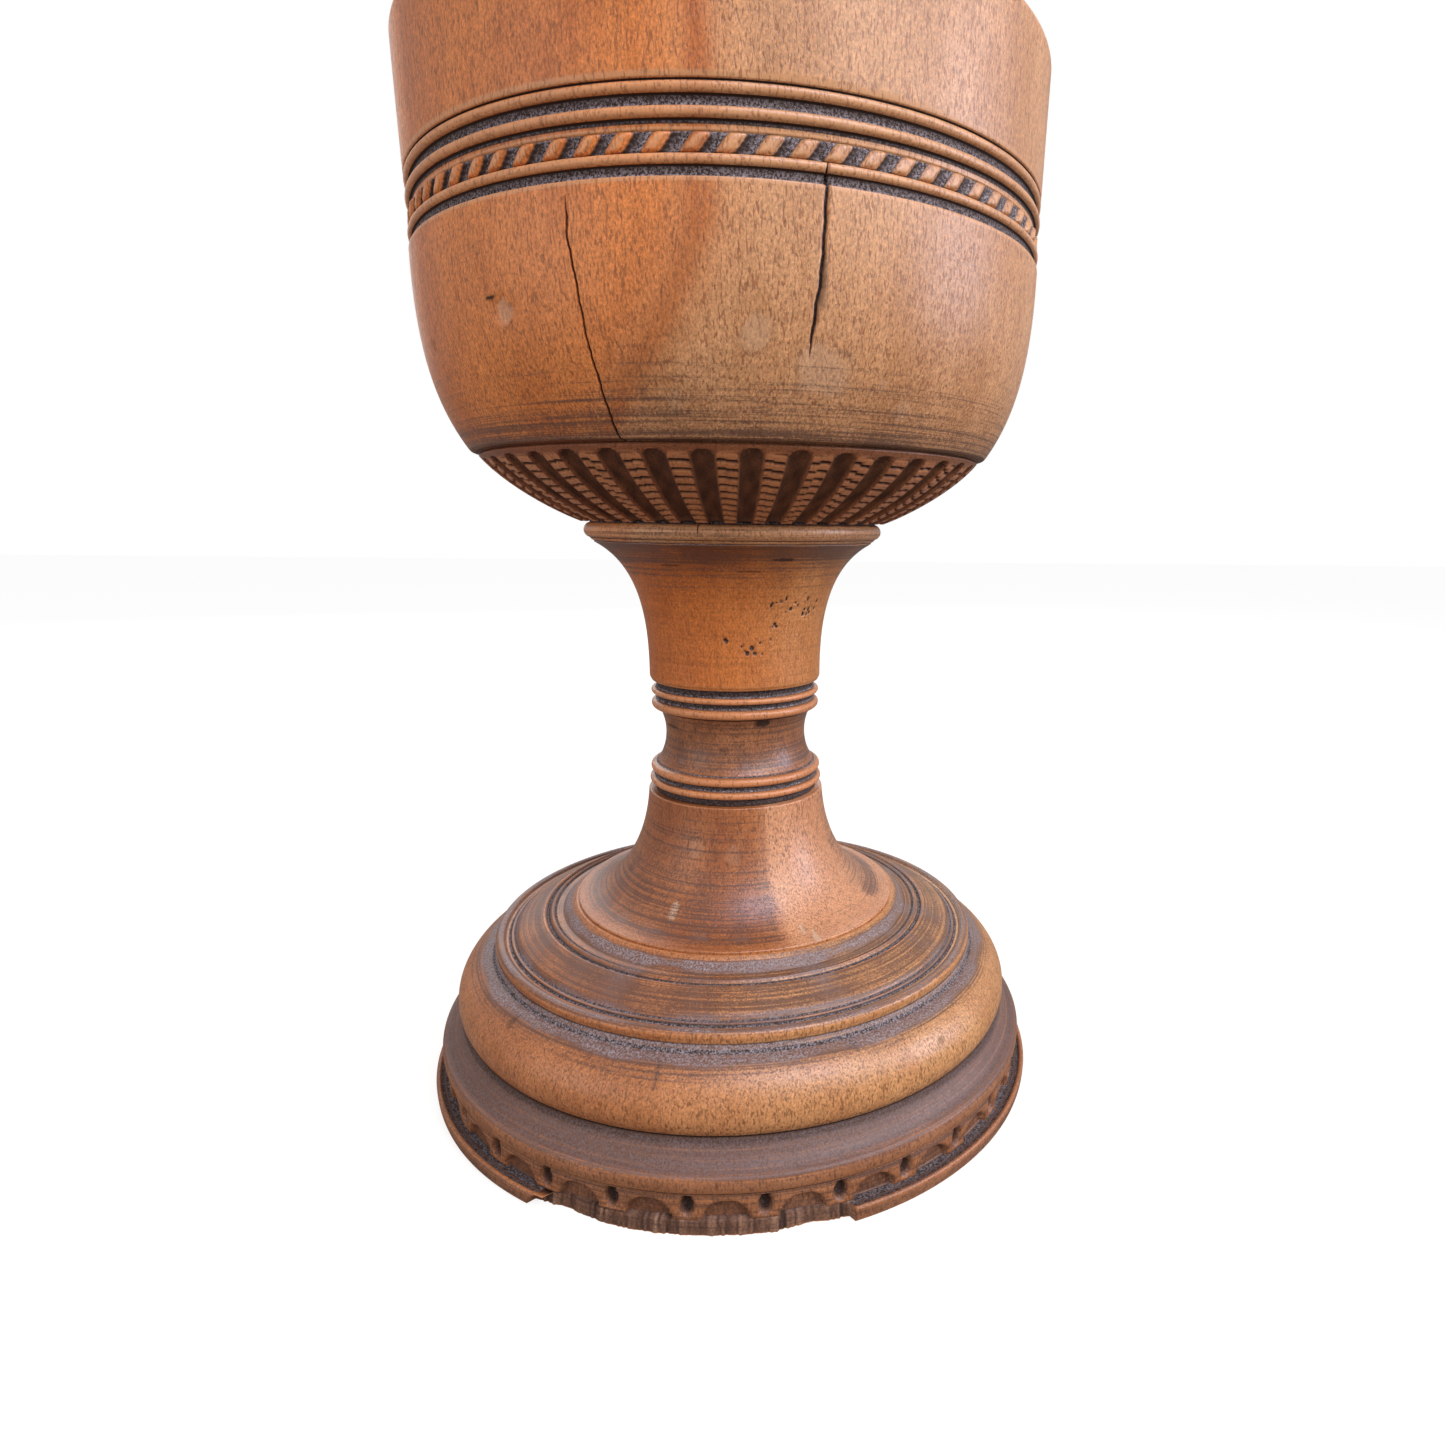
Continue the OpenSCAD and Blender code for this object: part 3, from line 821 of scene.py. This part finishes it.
def bowl_outline():
    """The bowl from its seat round the rim and down to the floor of the cup."""
    back = 2.6
    underside = sweep([36.2, 4.5], [43, 6.8], [53, 12.4], [57.5, 17.8], 40)
    hidden = underside + np.array([-back, 0.35 * back])
    points = outline(
        [[0, 0], [33.8, 0], [34.4, 0.5]],
        bead(COLLAR_R, 0.6, 4.2),
        [[34.4, 4.6]], hidden[2:-1],
        [[57.1, 18.5], [57.9, 18.9], [59.3, 19.0]],
        sweep([59.7, 19.4], [65.8, 28.2], [68.7, 39.4], [BOWL_R, 57.9], 60),
        groove(67.7, 58.1, 59.8), bead(BOWL_R, 59.8, 61.4),
        [[66.9, 61.6], [66.9, 64.5]],
        groove(67.5, 64.7, 66.4), bead(BOWL_R, 66.4, 68.1),
        groove(67.5, 68.2, 69.9), bead(BOWL_R, 69.9, 71.6),
        [[BOWL_R, 71.9]],
        arc(67.5, 95.9, 1.7, 0, 180, 16),
        [[INNER_R, 71.6]],
        sweep([INNER_R, 51.9], [62.1, 23.8], [36.6, 14], [0, 14], 40),
    )
    return refine(soften(points), 1.1) + np.array([0, SEAT["stem"]])


def leaning_angles(z, count):
    """Angles for each row: straight between fixed turns, but on the cracks at two of them."""
    left, right = crack_turn(CRACK_LEFT, z), crack_turn(CRACK_RIGHT, z)
    even = np.linspace(-math.pi, math.pi, count, endpoint=False)
    knots = np.radians([-180, -60, -22, 12, 60, 180])
    fine = np.array([-0.012, -0.007, -0.0042, -0.0026, -0.001, 0.001, 0.0026, 0.0042, 0.007, 0.012])
    kept = even[(np.abs(even - knots[2]) > 0.014) & (np.abs(even - knots[3]) > 0.014)]
    base = np.sort(np.concatenate([kept, knots[2] + fine, knots[3] + fine]))
    rows = [np.interp(base, knots, [knots[0], knots[1], a, b, knots[4], knots[5]])
            for a, b in zip(left, right)]
    return np.array(rows)


BOWL_SPOTS = [(-38.5, 174.6, 2.6, 0.9, 0.8), (-14, 158.5, 2.5, 3, 0.35), (33, 176, 2, 2.5, 0.3),
              (12.8, 176, 1.6, 9, 0.5), (-60, 170, 4, 3, 0.3), (150, 180, 9, 6, 0.3)]
BOWL_DROPS = [(-36, 172.2, 3.0, 5.0, 0.3), (13.7, 162.6, 11, 8.5, 0.22), (3.3, 167.6, 6, 6, 0.2),
              (29.5, 157.2, 3, 4, 0.16), (-9, 157, 3, 3.6, 0.12), (24, 161, 1.8, 2, 0.16),
              (-130, 165, 9, 8, 0.18), (118, 172, 7, 9, 0.18)]


def build_bowl():
    """The bowl's body, with its cracks, stains and dent."""
    points = bowl_outline()
    outside = np.arange(len(points)) < np.argmax(points[:, 1])
    share = np.where(points[:, 1] < SEAT["stem"] + 18.5, 0.05, np.where(outside, 1.0, 0.3))
    hollow = hollow_of(points, 3.0) * outside
    angle = leaning_angles(points[:, 1], BOWL_COLUMNS)
    rows = thin(points, hollow, 0.7, angle.shape[1], share)
    points, outside, hollow, angle = points[rows], outside[rows], hollow[rows], angle[rows]
    r, z, hollow = spread(angle.shape[1], points[:, 0], points[:, 1], hollow)
    outer = outside[:, None] & (r > 20)
    cuts = np.maximum(crack_field(CRACK_LEFT, r, z, angle, 0.4),
                      crack_field(CRACK_RIGHT, r, z, angle, 0.6)) * outer
    stains_and_shade = spot_field(BOWL_SPOTS, r, z, angle) * outer
    pale, ring = drop_field(BOWL_DROPS, r, z, angle)
    pale, stains_and_shade = pale * outer, np.maximum(stains_and_shade, ring * outer)
    # Darker towards the bottom of the wall: here the film paints the shade under the bowl's swell.
    low = np.clip((170 - z) / 21, 0, 1) ** 1.5 * (z > 149)
    collar = 0.4 * (z < 137.2)
    soil_and_shade = (0.8 * low + collar + 0.14 * np.clip(ragged(angle, z, 9), 0, 1)) * outer
    # A dark line in the groove under the wall: dirt and painted shade.
    stains_and_shade = np.maximum(stains_and_shade, 0.4 * ((z > 150.7) & (z < 151.5)))
    dent = spot_field([(-36.5, 172.6, 5, 4, 1.0)], r, z, angle) * outer
    r = r - 0.8 * cuts - 0.3 * dent
    r = r - 0.04 * (ragged(angle, z, 12) + 1) * outer
    values = {"hollow": hollow, "mark": np.maximum(cuts, stains_and_shade), "pale": pale, "soil_and_shade": soil_and_shade}
    mesh = solid_mesh("bowl_body", r, z, angle, values)
    place("bowl_body", mesh, BOWL_WOOD, "bowl", "bowl_wood")


build_bowl()

# %% [markdown]
# The underside of the bowl is carved with 39 flutes, each cut with a round gouge from the collar
# outwards and closed by the gouge's own round end. The lands between them are crossed by short
# cuts like the rungs of a ladder. The distance along the slope decides which row is which.

# %% Fluted ring
FLUTES, FIRST_FLUTE = 39, math.radians(3.4)
FLUTE_DEPTH, RUNG_DEPTH = 1.4, 0.5


def build_flutes():
    """A closed ring: the carved face, and behind it a plain back sunk into the bowl's body."""
    face = refine(sweep([36.3, 4.3], [43, 6.8], [53, 12.4], [57.7, 18.1], 60), 0.3)
    step = np.hypot(*np.diff(face, axis=0).T)
    along = np.concatenate([[0], np.cumsum(step)])
    length = along[-1]
    tangent = np.gradient(face, axis=0)
    tangent /= np.linalg.norm(tangent, axis=1, keepdims=True)
    normal = np.stack([tangent[:, 1], -tangent[:, 0]], axis=1)
    pitch = 2 * math.pi / FLUTES
    template = np.array([-0.5, -0.44, -0.36, -0.29, -0.25, -0.21, -0.14, -0.05,
                         0.05, 0.14, 0.21, 0.25, 0.29, 0.36, 0.44])
    u = np.tile(template, FLUTES)[None, :]
    index = np.repeat(np.arange(FLUTES), len(template))[None, :]
    s = along[:, None]
    half = np.interp(along, [0, length], [1.75, 2.45])[:, None]
    half_u = half / (pitch * face[:, :1])
    edge = np.interp(np.abs(u), [0, 0.25, 0.5], [0, 1, 2])
    spread = np.where(edge < 1, edge * half_u, half_u + (edge - 1) * (0.5 - half_u))
    turn = FIRST_FLUTE + pitch * index + pitch * np.sign(u) * spread
    end_at = length - 0.7 - 0.4 * np.abs(np.sin(2.7 * index))
    over = np.clip((s - (end_at - half)) / half, 0, 1)
    reach = half * np.sqrt(np.clip(1 - over**2, 0, 1))
    inside = spread * pitch * face[:, :1]
    flute = np.sqrt(np.clip(1 - (inside / np.maximum(reach, 1e-6)) ** 2, 0, 1)) * (s < end_at)
    flute = flute * np.clip(s / 1.2, 0.35, 1)
    rung_at = s + 0.35 * np.sin(index * 2.3) + (u - 0.5 * np.sign(u)) * 0.7
    rung = np.clip(1.2 - np.abs(((rung_at / 2.3) % 1) - 0.5) / 0.19, 0, 1)
    rung = rung * np.clip((edge - 1.04) / 0.12, 0, 1) * np.clip((length - 1.6 - s) / 0.8, 0, 1)
    depth = FLUTE_DEPTH * flute + RUNG_DEPTH * rung * (1 - flute)
    r = face[:, :1] - depth * normal[:, :1]
    z = face[:, 1:] - depth * normal[:, 1:] + SEAT["stem"]
    crack = crack_field(CRACK_LEFT, r, z, turn, 0.9)
    r = r - 0.4 * crack
    land = np.clip((edge - 1) / 0.25, 0, 1) * np.clip((length - 0.9 - s) / 1.6, 0, 1)
    cut = flute > 0.02
    # The whole ring is darkened, a little on the lands and more in flutes and rungs: dirt in the cuts
    # and painted shade under the bowl.
    mark = 0.2 + 0.1 * ragged(turn, z, 1.5) * land + (0.34 + 0.1 * ragged(turn, z, 1.1)) * cut
    mark = mark + 0.6 * rung * ~cut
    mark = np.maximum(mark, crack)
    hollow = np.where(cut, 0.12, -0.5 * land * (1 - rung))
    back = np.stack([face[::-6, 0] - 3.6, face[::-6, 1] + 1.9 + SEAT["stem"]], axis=1)
    mesh = ring_mesh("flute_ring", r, z, turn, back, {"hollow": hollow, "mark": mark})
    place("flute_ring", mesh, SHADED_FLUTE_WOOD, "bowl", "bowl_wood")


# A darker copy of the bowl's wood, which paints the shade under the bowl.
SHADED_FLUTE_WOOD = wood(
    "shaded_flute_wood", left=((0.34, 0.11, 0.042), (0.24, 0.07, 0.026)),
    right=((0.36, 0.13, 0.052), (0.26, 0.085, 0.032)), fleck=(0.07, 0.025, 0.01),
    worn=(0.58, 0.22, 0.09), flecks=0.5, speckle=2.0, lines=0.02, wear=0.85, dust=0.0,
)
build_flutes()

# %% [markdown]
# The band under the rim is a row of 72 small slanting knobs. Between two knobs the carver left
# two triangular chips, one from above and one from below, which hold most of the dirt and are
# darkened by painted shade as well.

# %% Knob band
KNOBS = 72
KNOB_ROWS, KNOB_COLUMNS = 17, 10


def build_knobs():
    """A closed ring of knobs. With u across and v up a pitch, both from -1 to 1, a knob stands
    where |u - 0.42 v| is small and falls away to a chip on both sides."""
    v = np.linspace(-1, 1, KNOB_ROWS)[:, None]
    u = np.tile(np.linspace(-1, 1, KNOB_COLUMNS, endpoint=False), KNOBS)[None, :]
    index = np.repeat(np.arange(KNOBS), KNOB_COLUMNS)[None, :]
    lean = u - 0.42 * v - 0.08 * np.sin(index * 1.7)
    lean = (lean + 1) % 2 - 1
    across = np.clip(1 - np.abs(lean / 0.62) ** 2.4, 0, 1)
    up = np.clip(1 - np.abs(v) ** 5, 0, 1)
    knob = across * up
    r = 67.35 + 1.1 * knob**0.7 + 0.04 * np.sin(index * 3.1)
    z = 63.0 + 1.62 * v + 0 * u + SEAT["stem"]
    turn = 2 * math.pi / KNOBS * (index + u / 2) + 0 * v
    hollow = 0.36 - 0.62 * np.clip(knob, 0, 1)
    back = np.array([[65.2, 64.4], [65.2, 61.6]]) + np.array([0, SEAT["stem"]])
    # The chips are darkened: dirt and painted shade in the recesses.
    mark = np.clip(0.75 - 1.2 * knob, 0, 1)
    mesh = ring_mesh("knob_band", r, z, turn, back, {"hollow": hollow, "mark": mark})
    place("knob_band", mesh, BOWL_WOOD, "bowl", "bowl_wood")


build_knobs()

# %% [markdown]
# ## Stem, knop and cone
# The stem is smooth, apart from a patch of pits on its right where the surface broke out. The
# knop is two pairs of beads with a waist between them, and black dirt with painted shade lies in
# every groove. The cone spreads to a thin edge on the foot.

# %% Stem, knop and cone
def lathe(name, points, seat, columns, material, slot, reach=2.4, marks=(), dents=(), drops=(),
          film_and_shade=((0, 0), (1, 0)), black=(), clean=(), spacing=0.5):
    """A turned piece from its outline, with spots, dents and dried drops. film is a list of
    (height above the seat, soil) pairs. black lists grooves as (lowest radius, highest radius,
    lowest height, highest height) above the seat, which are blackened as dirt with painted shade.
    clean is the two bearings between which most of the film is rubbed off."""
    # Black grooves: dirt, and painted shade in the groove.
    black_dirt_and_shade = np.zeros(len(points))
    for r_low, r_high, z_low, z_high in black:
        inside = (points[:, 0] > r_low) & (points[:, 0] < r_high)
        black_dirt_and_shade[inside & (points[:, 1] > z_low) & (points[:, 1] < z_high)] = 0.8
    soil_and_shade = np.interp(points[:, 1], [f[0] for f in film_and_shade], [f[1] for f in film_and_shade])
    lowest, highest = points[:, 1].min(), points[:, 1].max()
    end_face = (points[:, 1] < lowest + 0.02) | (points[:, 1] > highest - 0.02)
    hollow = hollow_of(points, reach)
    rows = thin(points, hollow + black_dirt_and_shade, spacing, columns, np.where(end_face, 0.03, 1.0))
    points, soil_and_shade, black_dirt_and_shade, hollow = points[rows], soil_and_shade[rows], black_dirt_and_shade[rows], hollow[rows]
    points = points + np.array([0, seat])
    angle = np.repeat(even_angles(columns), len(points), axis=0)
    r, z, hollow = spread(columns, points[:, 0], points[:, 1], hollow)
    outer = r > 12
    mark = spot_field(marks, r, z, angle) * outer
    dent = spot_field(dents, r, z, angle) * outer
    pale, ring = drop_field(drops, r, z, angle)
    r = r - 0.35 * dent
    mark = np.maximum(np.maximum(mark, black_dirt_and_shade[:, None]), np.maximum(dent, ring * outer))
    soil_and_shade = soil_and_shade[:, None] * (1 + 0.2 * ragged(angle, z, 6))
    if clean:
        bearing = np.degrees(angle) + 2 * ragged(angle, z, 3)
        rubbed = np.clip((bearing - clean[0]) / 5, 0, 1) * np.clip((clean[1] - bearing) / 12, 0, 1)
        soil_and_shade = soil_and_shade * (1 - 0.8 * rubbed)
    values = {"hollow": hollow, "mark": mark, "pale": pale * outer, "soil_and_shade": soil_and_shade}
    mesh = solid_mesh(name, r, z, angle, values)
    place(name, mesh, material, slot.split("_")[0], slot)


PITS = [
    (20.1, 117.9), (21.2, 119.0), (20.6, 118.5), (23.8, 119.2), (26.7, 119.5), (29.7, 120.1),
    (36.6, 119.0), (42.4, 121.1), (46.0, 119.8), (45.1, 117.3), (47.5, 116.1), (51.2, 117.9),
    (54.5, 117.3), (55.5, 119.0), (46.6, 115.2), (48.6, 117.2), (44.0, 116.2), (50.0, 116.4),
    (22.7, 113.6), (25.4, 113.6), (24.0, 114.2), (22.1, 110.7), (21.6, 112.6), (-6.0, 110.7),
    (-5.0, 110.3), (6.0, 108.1), (4.0, 109.2), (10.1, 108.8), (16.7, 107.3), (15.3, 110.0),
    (12.0, 107.5), (34.0, 117.6), (39.0, 118.4), (30.6, 116.9), (7.4, 107.6),
]


def pits():
    """The pits, 0.4 to 0.9 mm wide and up to 1.4 mm tall, by a fixed ragged rule."""
    found = []
    for k, (turn, height) in enumerate(PITS):
        size = 0.42 + 0.5 * ((k * 0.732) % 1)
        tall = size * (0.8 + 0.7 * ((k * 0.37) % 1))
        found.append((turn, height, size, tall, 0.5 + 0.5 * ((k * 0.29) % 1)))
    return found


STEM_OUTLINE = refine(soften(outline(
    [[0, 0], [20.8, 0], [21.3, 1]],
    sweep([21.3, 1.5], [21.3, 13.5], [22.5, 27.7], [33.6, 33.5], 60),
    [[33.3, 33.8], [0, 33.8]],
)), 0.45)
lathe("stem_flare", STEM_OUTLINE, SEAT["knop"], 480, STEM_WOOD, "stem_wood", dents=pits(),
      spacing=0.2,
      marks=[(22, 129, 5, 0.8, 0.6), (-30, 127.5, 6, 0.5, 0.5), (8, 126.4, 7, 0.4, 0.5)],
      film_and_shade=((0, 0.12), (20, 0.12), (26, 0.35), (31, 0.85), (33.8, 1.0)))

KNOP_OUTLINE = refine(soften(outline(
    [[0, 0], [20.4, 0], [20.4, 1.8]], bead(21.8, 1.8, 3.5), [[20.4, 3.7], [20.4, 4.7]],
    bead(21.5, 4.8, 6.8), sweep([19.9, 7], [17.2, 10.6], [16.7, 16.5], [19.1, 20.7], 40),
    bead(21, 20.9, 23.1), [[19.6, 23.3], [19.6, 24.4]], bead(21, 24.6, 26),
    [[19.6, 26.1], [19.6, 27.9], [0, 27.9]],
), 0.15), 0.4)
lathe("knop_rings", KNOP_OUTLINE, SEAT["cone"], 288, KNOP_WOOD, "knop_wood", reach=2.2,
      marks=[(20, 90.4, 4, 2, 0.7), (-8, 84, 3, 1.4, 0.4), (-60, 88, 5, 1, 0.5),
             (130, 86, 4, 2, 0.5)],
      film_and_shade=((0, 0), (7, 0.1), (9, 0.75), (14, 0.5), (19, 0.65), (21, 0.05), (27.9, 0)),
      black=[(0, 20.9, 0, 1.85), (0, 20.8, 3.6, 4.8), (0, 20.2, 23.2, 24.5), (0, 20.2, 26.05, 28)])

CONE_OUTLINE = refine(soften(outline(
    [[0, 0], [40.8, 0], [40.8, 0.5]],
    sweep([40.6, 0.7], [31.2, 1.3], [23.2, 12.3], [22.2, 27.8], 60),
    [[22, 28], [0, 28]],
)), 0.5)
lathe("cone_body", CONE_OUTLINE, SEAT["foot"], 320, CONE_WOOD, "cone_wood", reach=1.1, clean=(15, 75),
      marks=[(-12, 60, 2, 3, 0.3), (-35, 56, 2, 2, 0.3), (-70, 52, 3, 2, 0.3), (140, 58, 3, 2, 0.3)],
      drops=[(-28, 47.7, 2.2, 3.4, 0.6), (25, 44.6, 1.1, 1.3, 0.6), (28, 43.8, 1.1, 1.3, 0.6),
             (26.6, 43.4, 1, 1.1, 0.6), (-24, 61, 4.5, 5, 0.1), (-2, 60, 4, 5, 0.1)],
      film_and_shade=((0, 0.1), (0.8, 0.3), (1.5, 0.8), (4, 0.65), (14, 0.5), (24, 0.35), (28, 0.25)))

# %% [markdown]
# ## Foot
# From the cone outwards the foot has an orange fillet, a dished ring full of dust, a narrow deep
# groove, a flat band with faint tool lines, two grooves, a bead, a cove and the round moulding.

# %% Foot
FOOT_OUTLINE = refine(soften(outline(
    [[0, 0], [69, 0]],
    sweep([69, 0.1], [73, 4.75], [68.6, 11.75], [63.4, 13.6], 60),
    [[61.8, 13.9], [61, 15.4]], arc(60, 16.9, 1.3, -10, 150, 12),
    [[57.8, 17.3], [57.3, 18.1], [56.6, 17.9], [56.1, 18.7], [55.4, 19.3], [49.4, 22.2]],
    [[48.4, 21.4], [47.4, 22.6], [46.6, 22], [44.6, 22.3], [42.8, 23.8], [41.8, 24.6]],
    [[41.3, 25], [0, 25]],
), 0.15), 0.42)
# The film and black band at the foot's lowest rows are dirt at the joint with the plinth and painted
# shade under the round moulding.
lathe("foot_rings", FOOT_OUTLINE, SEAT["plinth"], 384, FOOT_WOOD, "foot_wood", reach=1.7,
      film_and_shade=((0, 0.9), (0.6, 0.3), (2, 0.05), (9.5, 0.08), (11.8, 0.35), (12.9, 0.85),
            (13.7, 1.2), (15.2, 1.2), (15.8, 0.05), (17.4, 0.1), (18, 0.95), (19.3, 0.75),
            (21.4, 0.75), (22.4, 0.8),
            (23.2, 1.15), (24, 1.15), (24.5, 0.2)),
      black=[(46.3, 46.95, 21.8, 22.5), (48.0, 48.8, 21.2, 21.9), (56.3, 56.8, 17.7, 18.2),
             (57.4, 58.3, 17.1, 18.2), (61.3, 62.2, 13.7, 14.6), (67, 70, -0.1, 0.55)],
      marks=[(-14, 29, 1.5, 3.5, 0.5), (22, 31, 1.2, 3, 0.5), (40, 27, 3, 1.5, 0.4),
             (-48, 30, 2, 2.5, 0.45)])

# %% [markdown]
# ## Plinth
# A thin round moulding stands over a gallery of half-moons and small round notches, which sits on
# a ledge with a dusty groove. The lip outside the ledge has split off along the grain at the
# front and left a rough upright face. The grid has a fixed number of columns in each pitch, so
# the carving repeats exactly while dirt and breakage don't.

# %% Plinth
GALLERY, FIRST_NOTCH = 30, math.radians(4.0)
PITCH_COLUMNS = 28
MOON_DEPTH, NOTCH_DEPTH = 1.4, 1.7
BREAK_FROM, BREAK_TO, BREAK_R = math.radians(-35), math.radians(16.5), 74.3


def plinth_outline():
    """The plinth from its underside to its top face under the foot."""
    return refine(soften(outline(
        [[0, 0], [76.6, 0]],
        sweep([76.6, 0], [76.9, 0.7], [76.98, 1.7], [76.98, 2.9], 8),
        [[76.6, 3.35], [76.1, 3.35], [75.6, 2.75], [74.1, 2.8], [74.1, 8.2], [73.3, 8.7]],
        sweep([74.2, 8.9], [75.1, 9.5], [75.2, 11.9], [74.3, 12.7], 12),
        sweep([74.0, 12.8], [71.6, 13.5], [70.8, 16.1], [69.6, 17.5], 12),
        [[69.5, 17.7], [0, 17.7]],
    ), 0.2), 0.36)


def build_plinth():
    """The plinth with its carving and the broken lip."""
    points = plinth_outline()
    columns = GALLERY * PITCH_COLUMNS
    hollow = hollow_of(points, 3.0)
    rows = thin(points, hollow, 0.3, columns, np.where(points[:, 0] < 69, 0.02, 1.0))
    points, hollow = points[rows], hollow[rows]
    angle = np.repeat(FIRST_NOTCH + even_angles(columns), len(points), axis=0)
    r, z, hollow = spread(columns, points[:, 0], points[:, 1], hollow)
    turn = (angle - FIRST_NOTCH) * GALLERY / (2 * math.pi)
    pitch = 2 * math.pi / GALLERY * 74
    notch_off = (turn - np.round(turn)) * pitch
    moon_off = (turn - np.floor(turn) - 0.5) * pitch + 0.25 * np.sin(2.9 * np.floor(turn))
    gallery = (z > 2.85) & (z < 8.25) & (r > 73.6) & (r < 74.4)
    arch = 4.3 * np.sqrt(np.clip(1 - (moon_off / 4.7) ** 2, 0, 1))
    moon = gallery * np.clip((arch - (z - 3.0)) / 0.5, 0, 1)
    notch = gallery * np.clip((1.45 - np.hypot(notch_off, 0.6 * (z - 5.9))) / 0.4, 0, 1)
    dip = 0.35 * gallery * np.clip((z - 7.2) / 1.0, 0, 1)
    r = r - np.maximum(MOON_DEPTH * moon, NOTCH_DEPTH * notch) - dip
    hollow = np.where(gallery, -0.2 + 0.24 * moon + 0.4 * notch, hollow)
    # Moons and notches are darkened as dirt with painted shade in the recesses; the band at the
    # gallery's top, above 7.4 mm, is the painted shadow of the edge above it.
    mark = 0.3 * moon + 0.75 * notch + 0.35 * gallery * (z > 7.4)
    theta = (angle + math.pi) % (2 * math.pi) - math.pi
    fibres = ripple(theta * 211 + 2 * np.sin(theta * 31), theta * 397 + 0.5 * z, theta * 83 + 1)
    fibres = 0.5 + 0.5 * fibres * (0.6 + 0.4 * np.sin(theta * 57 + 2 * np.sin(theta * 19)))
    jagged = 0.03 * ripple(theta * 90, theta * 47)
    inside = (theta > BREAK_FROM + jagged * 0.6 + 0.02 * z) & (theta < BREAK_TO + jagged)
    broken = inside & (r > 72.5) & (z < 3.6) & ~gallery
    chips = 0.8 * np.clip(ripple(theta * 23, theta * 37 + 2, theta * 11) - 0.35, 0, 1)
    limit = BREAK_R + 0.8 * (fibres - 0.5) - 0.9 * np.exp(-(((theta - 0.19) / 0.05) ** 2)) - chips
    limit = limit - 0.9 * np.exp(-(((theta + 0.48) / 0.1) ** 2)) + 0.16 * (2.8 - z)
    cut = broken & (r > limit)
    r = np.where(cut, limit, r)
    z = np.where(cut, np.minimum(z, 2.75), z)
    face = inside & (z > 0.05) & (z < 2.9) & (r > 72)
    hollow = np.where(face, 0.02, hollow)
    mark = np.where(face, 0.12 + 0.8 * (1 - fibres) ** 1.3, mark)
    dust = np.where(face, 0.55 * fibres**3, 0.0)
    top = np.clip((z - 11.6) / 0.7, 0, 1) * (r > 66)
    soil_and_shade = np.where(z < 8.9, 0.5, 0.12 + 0.78 * top)
    # Darker on the plinth top next to the foot: dirt at the joint and painted shade under the foot's
    # round moulding.
    seam_dirt_and_shade = np.clip((z - 15.6) / 1.6, 0, 1) * (r > 66)
    mark = np.maximum(mark, 0.55 * seam_dirt_and_shade)
    values = {"hollow": hollow, "mark": np.clip(mark, 0, 1), "pale": dust, "soil_and_shade": soil_and_shade}
    mesh = solid_mesh("plinth_body", r, z, angle, values)
    place("plinth_body", mesh, PLINTH_WOOD, "plinth", "plinth_wood")


build_plinth()
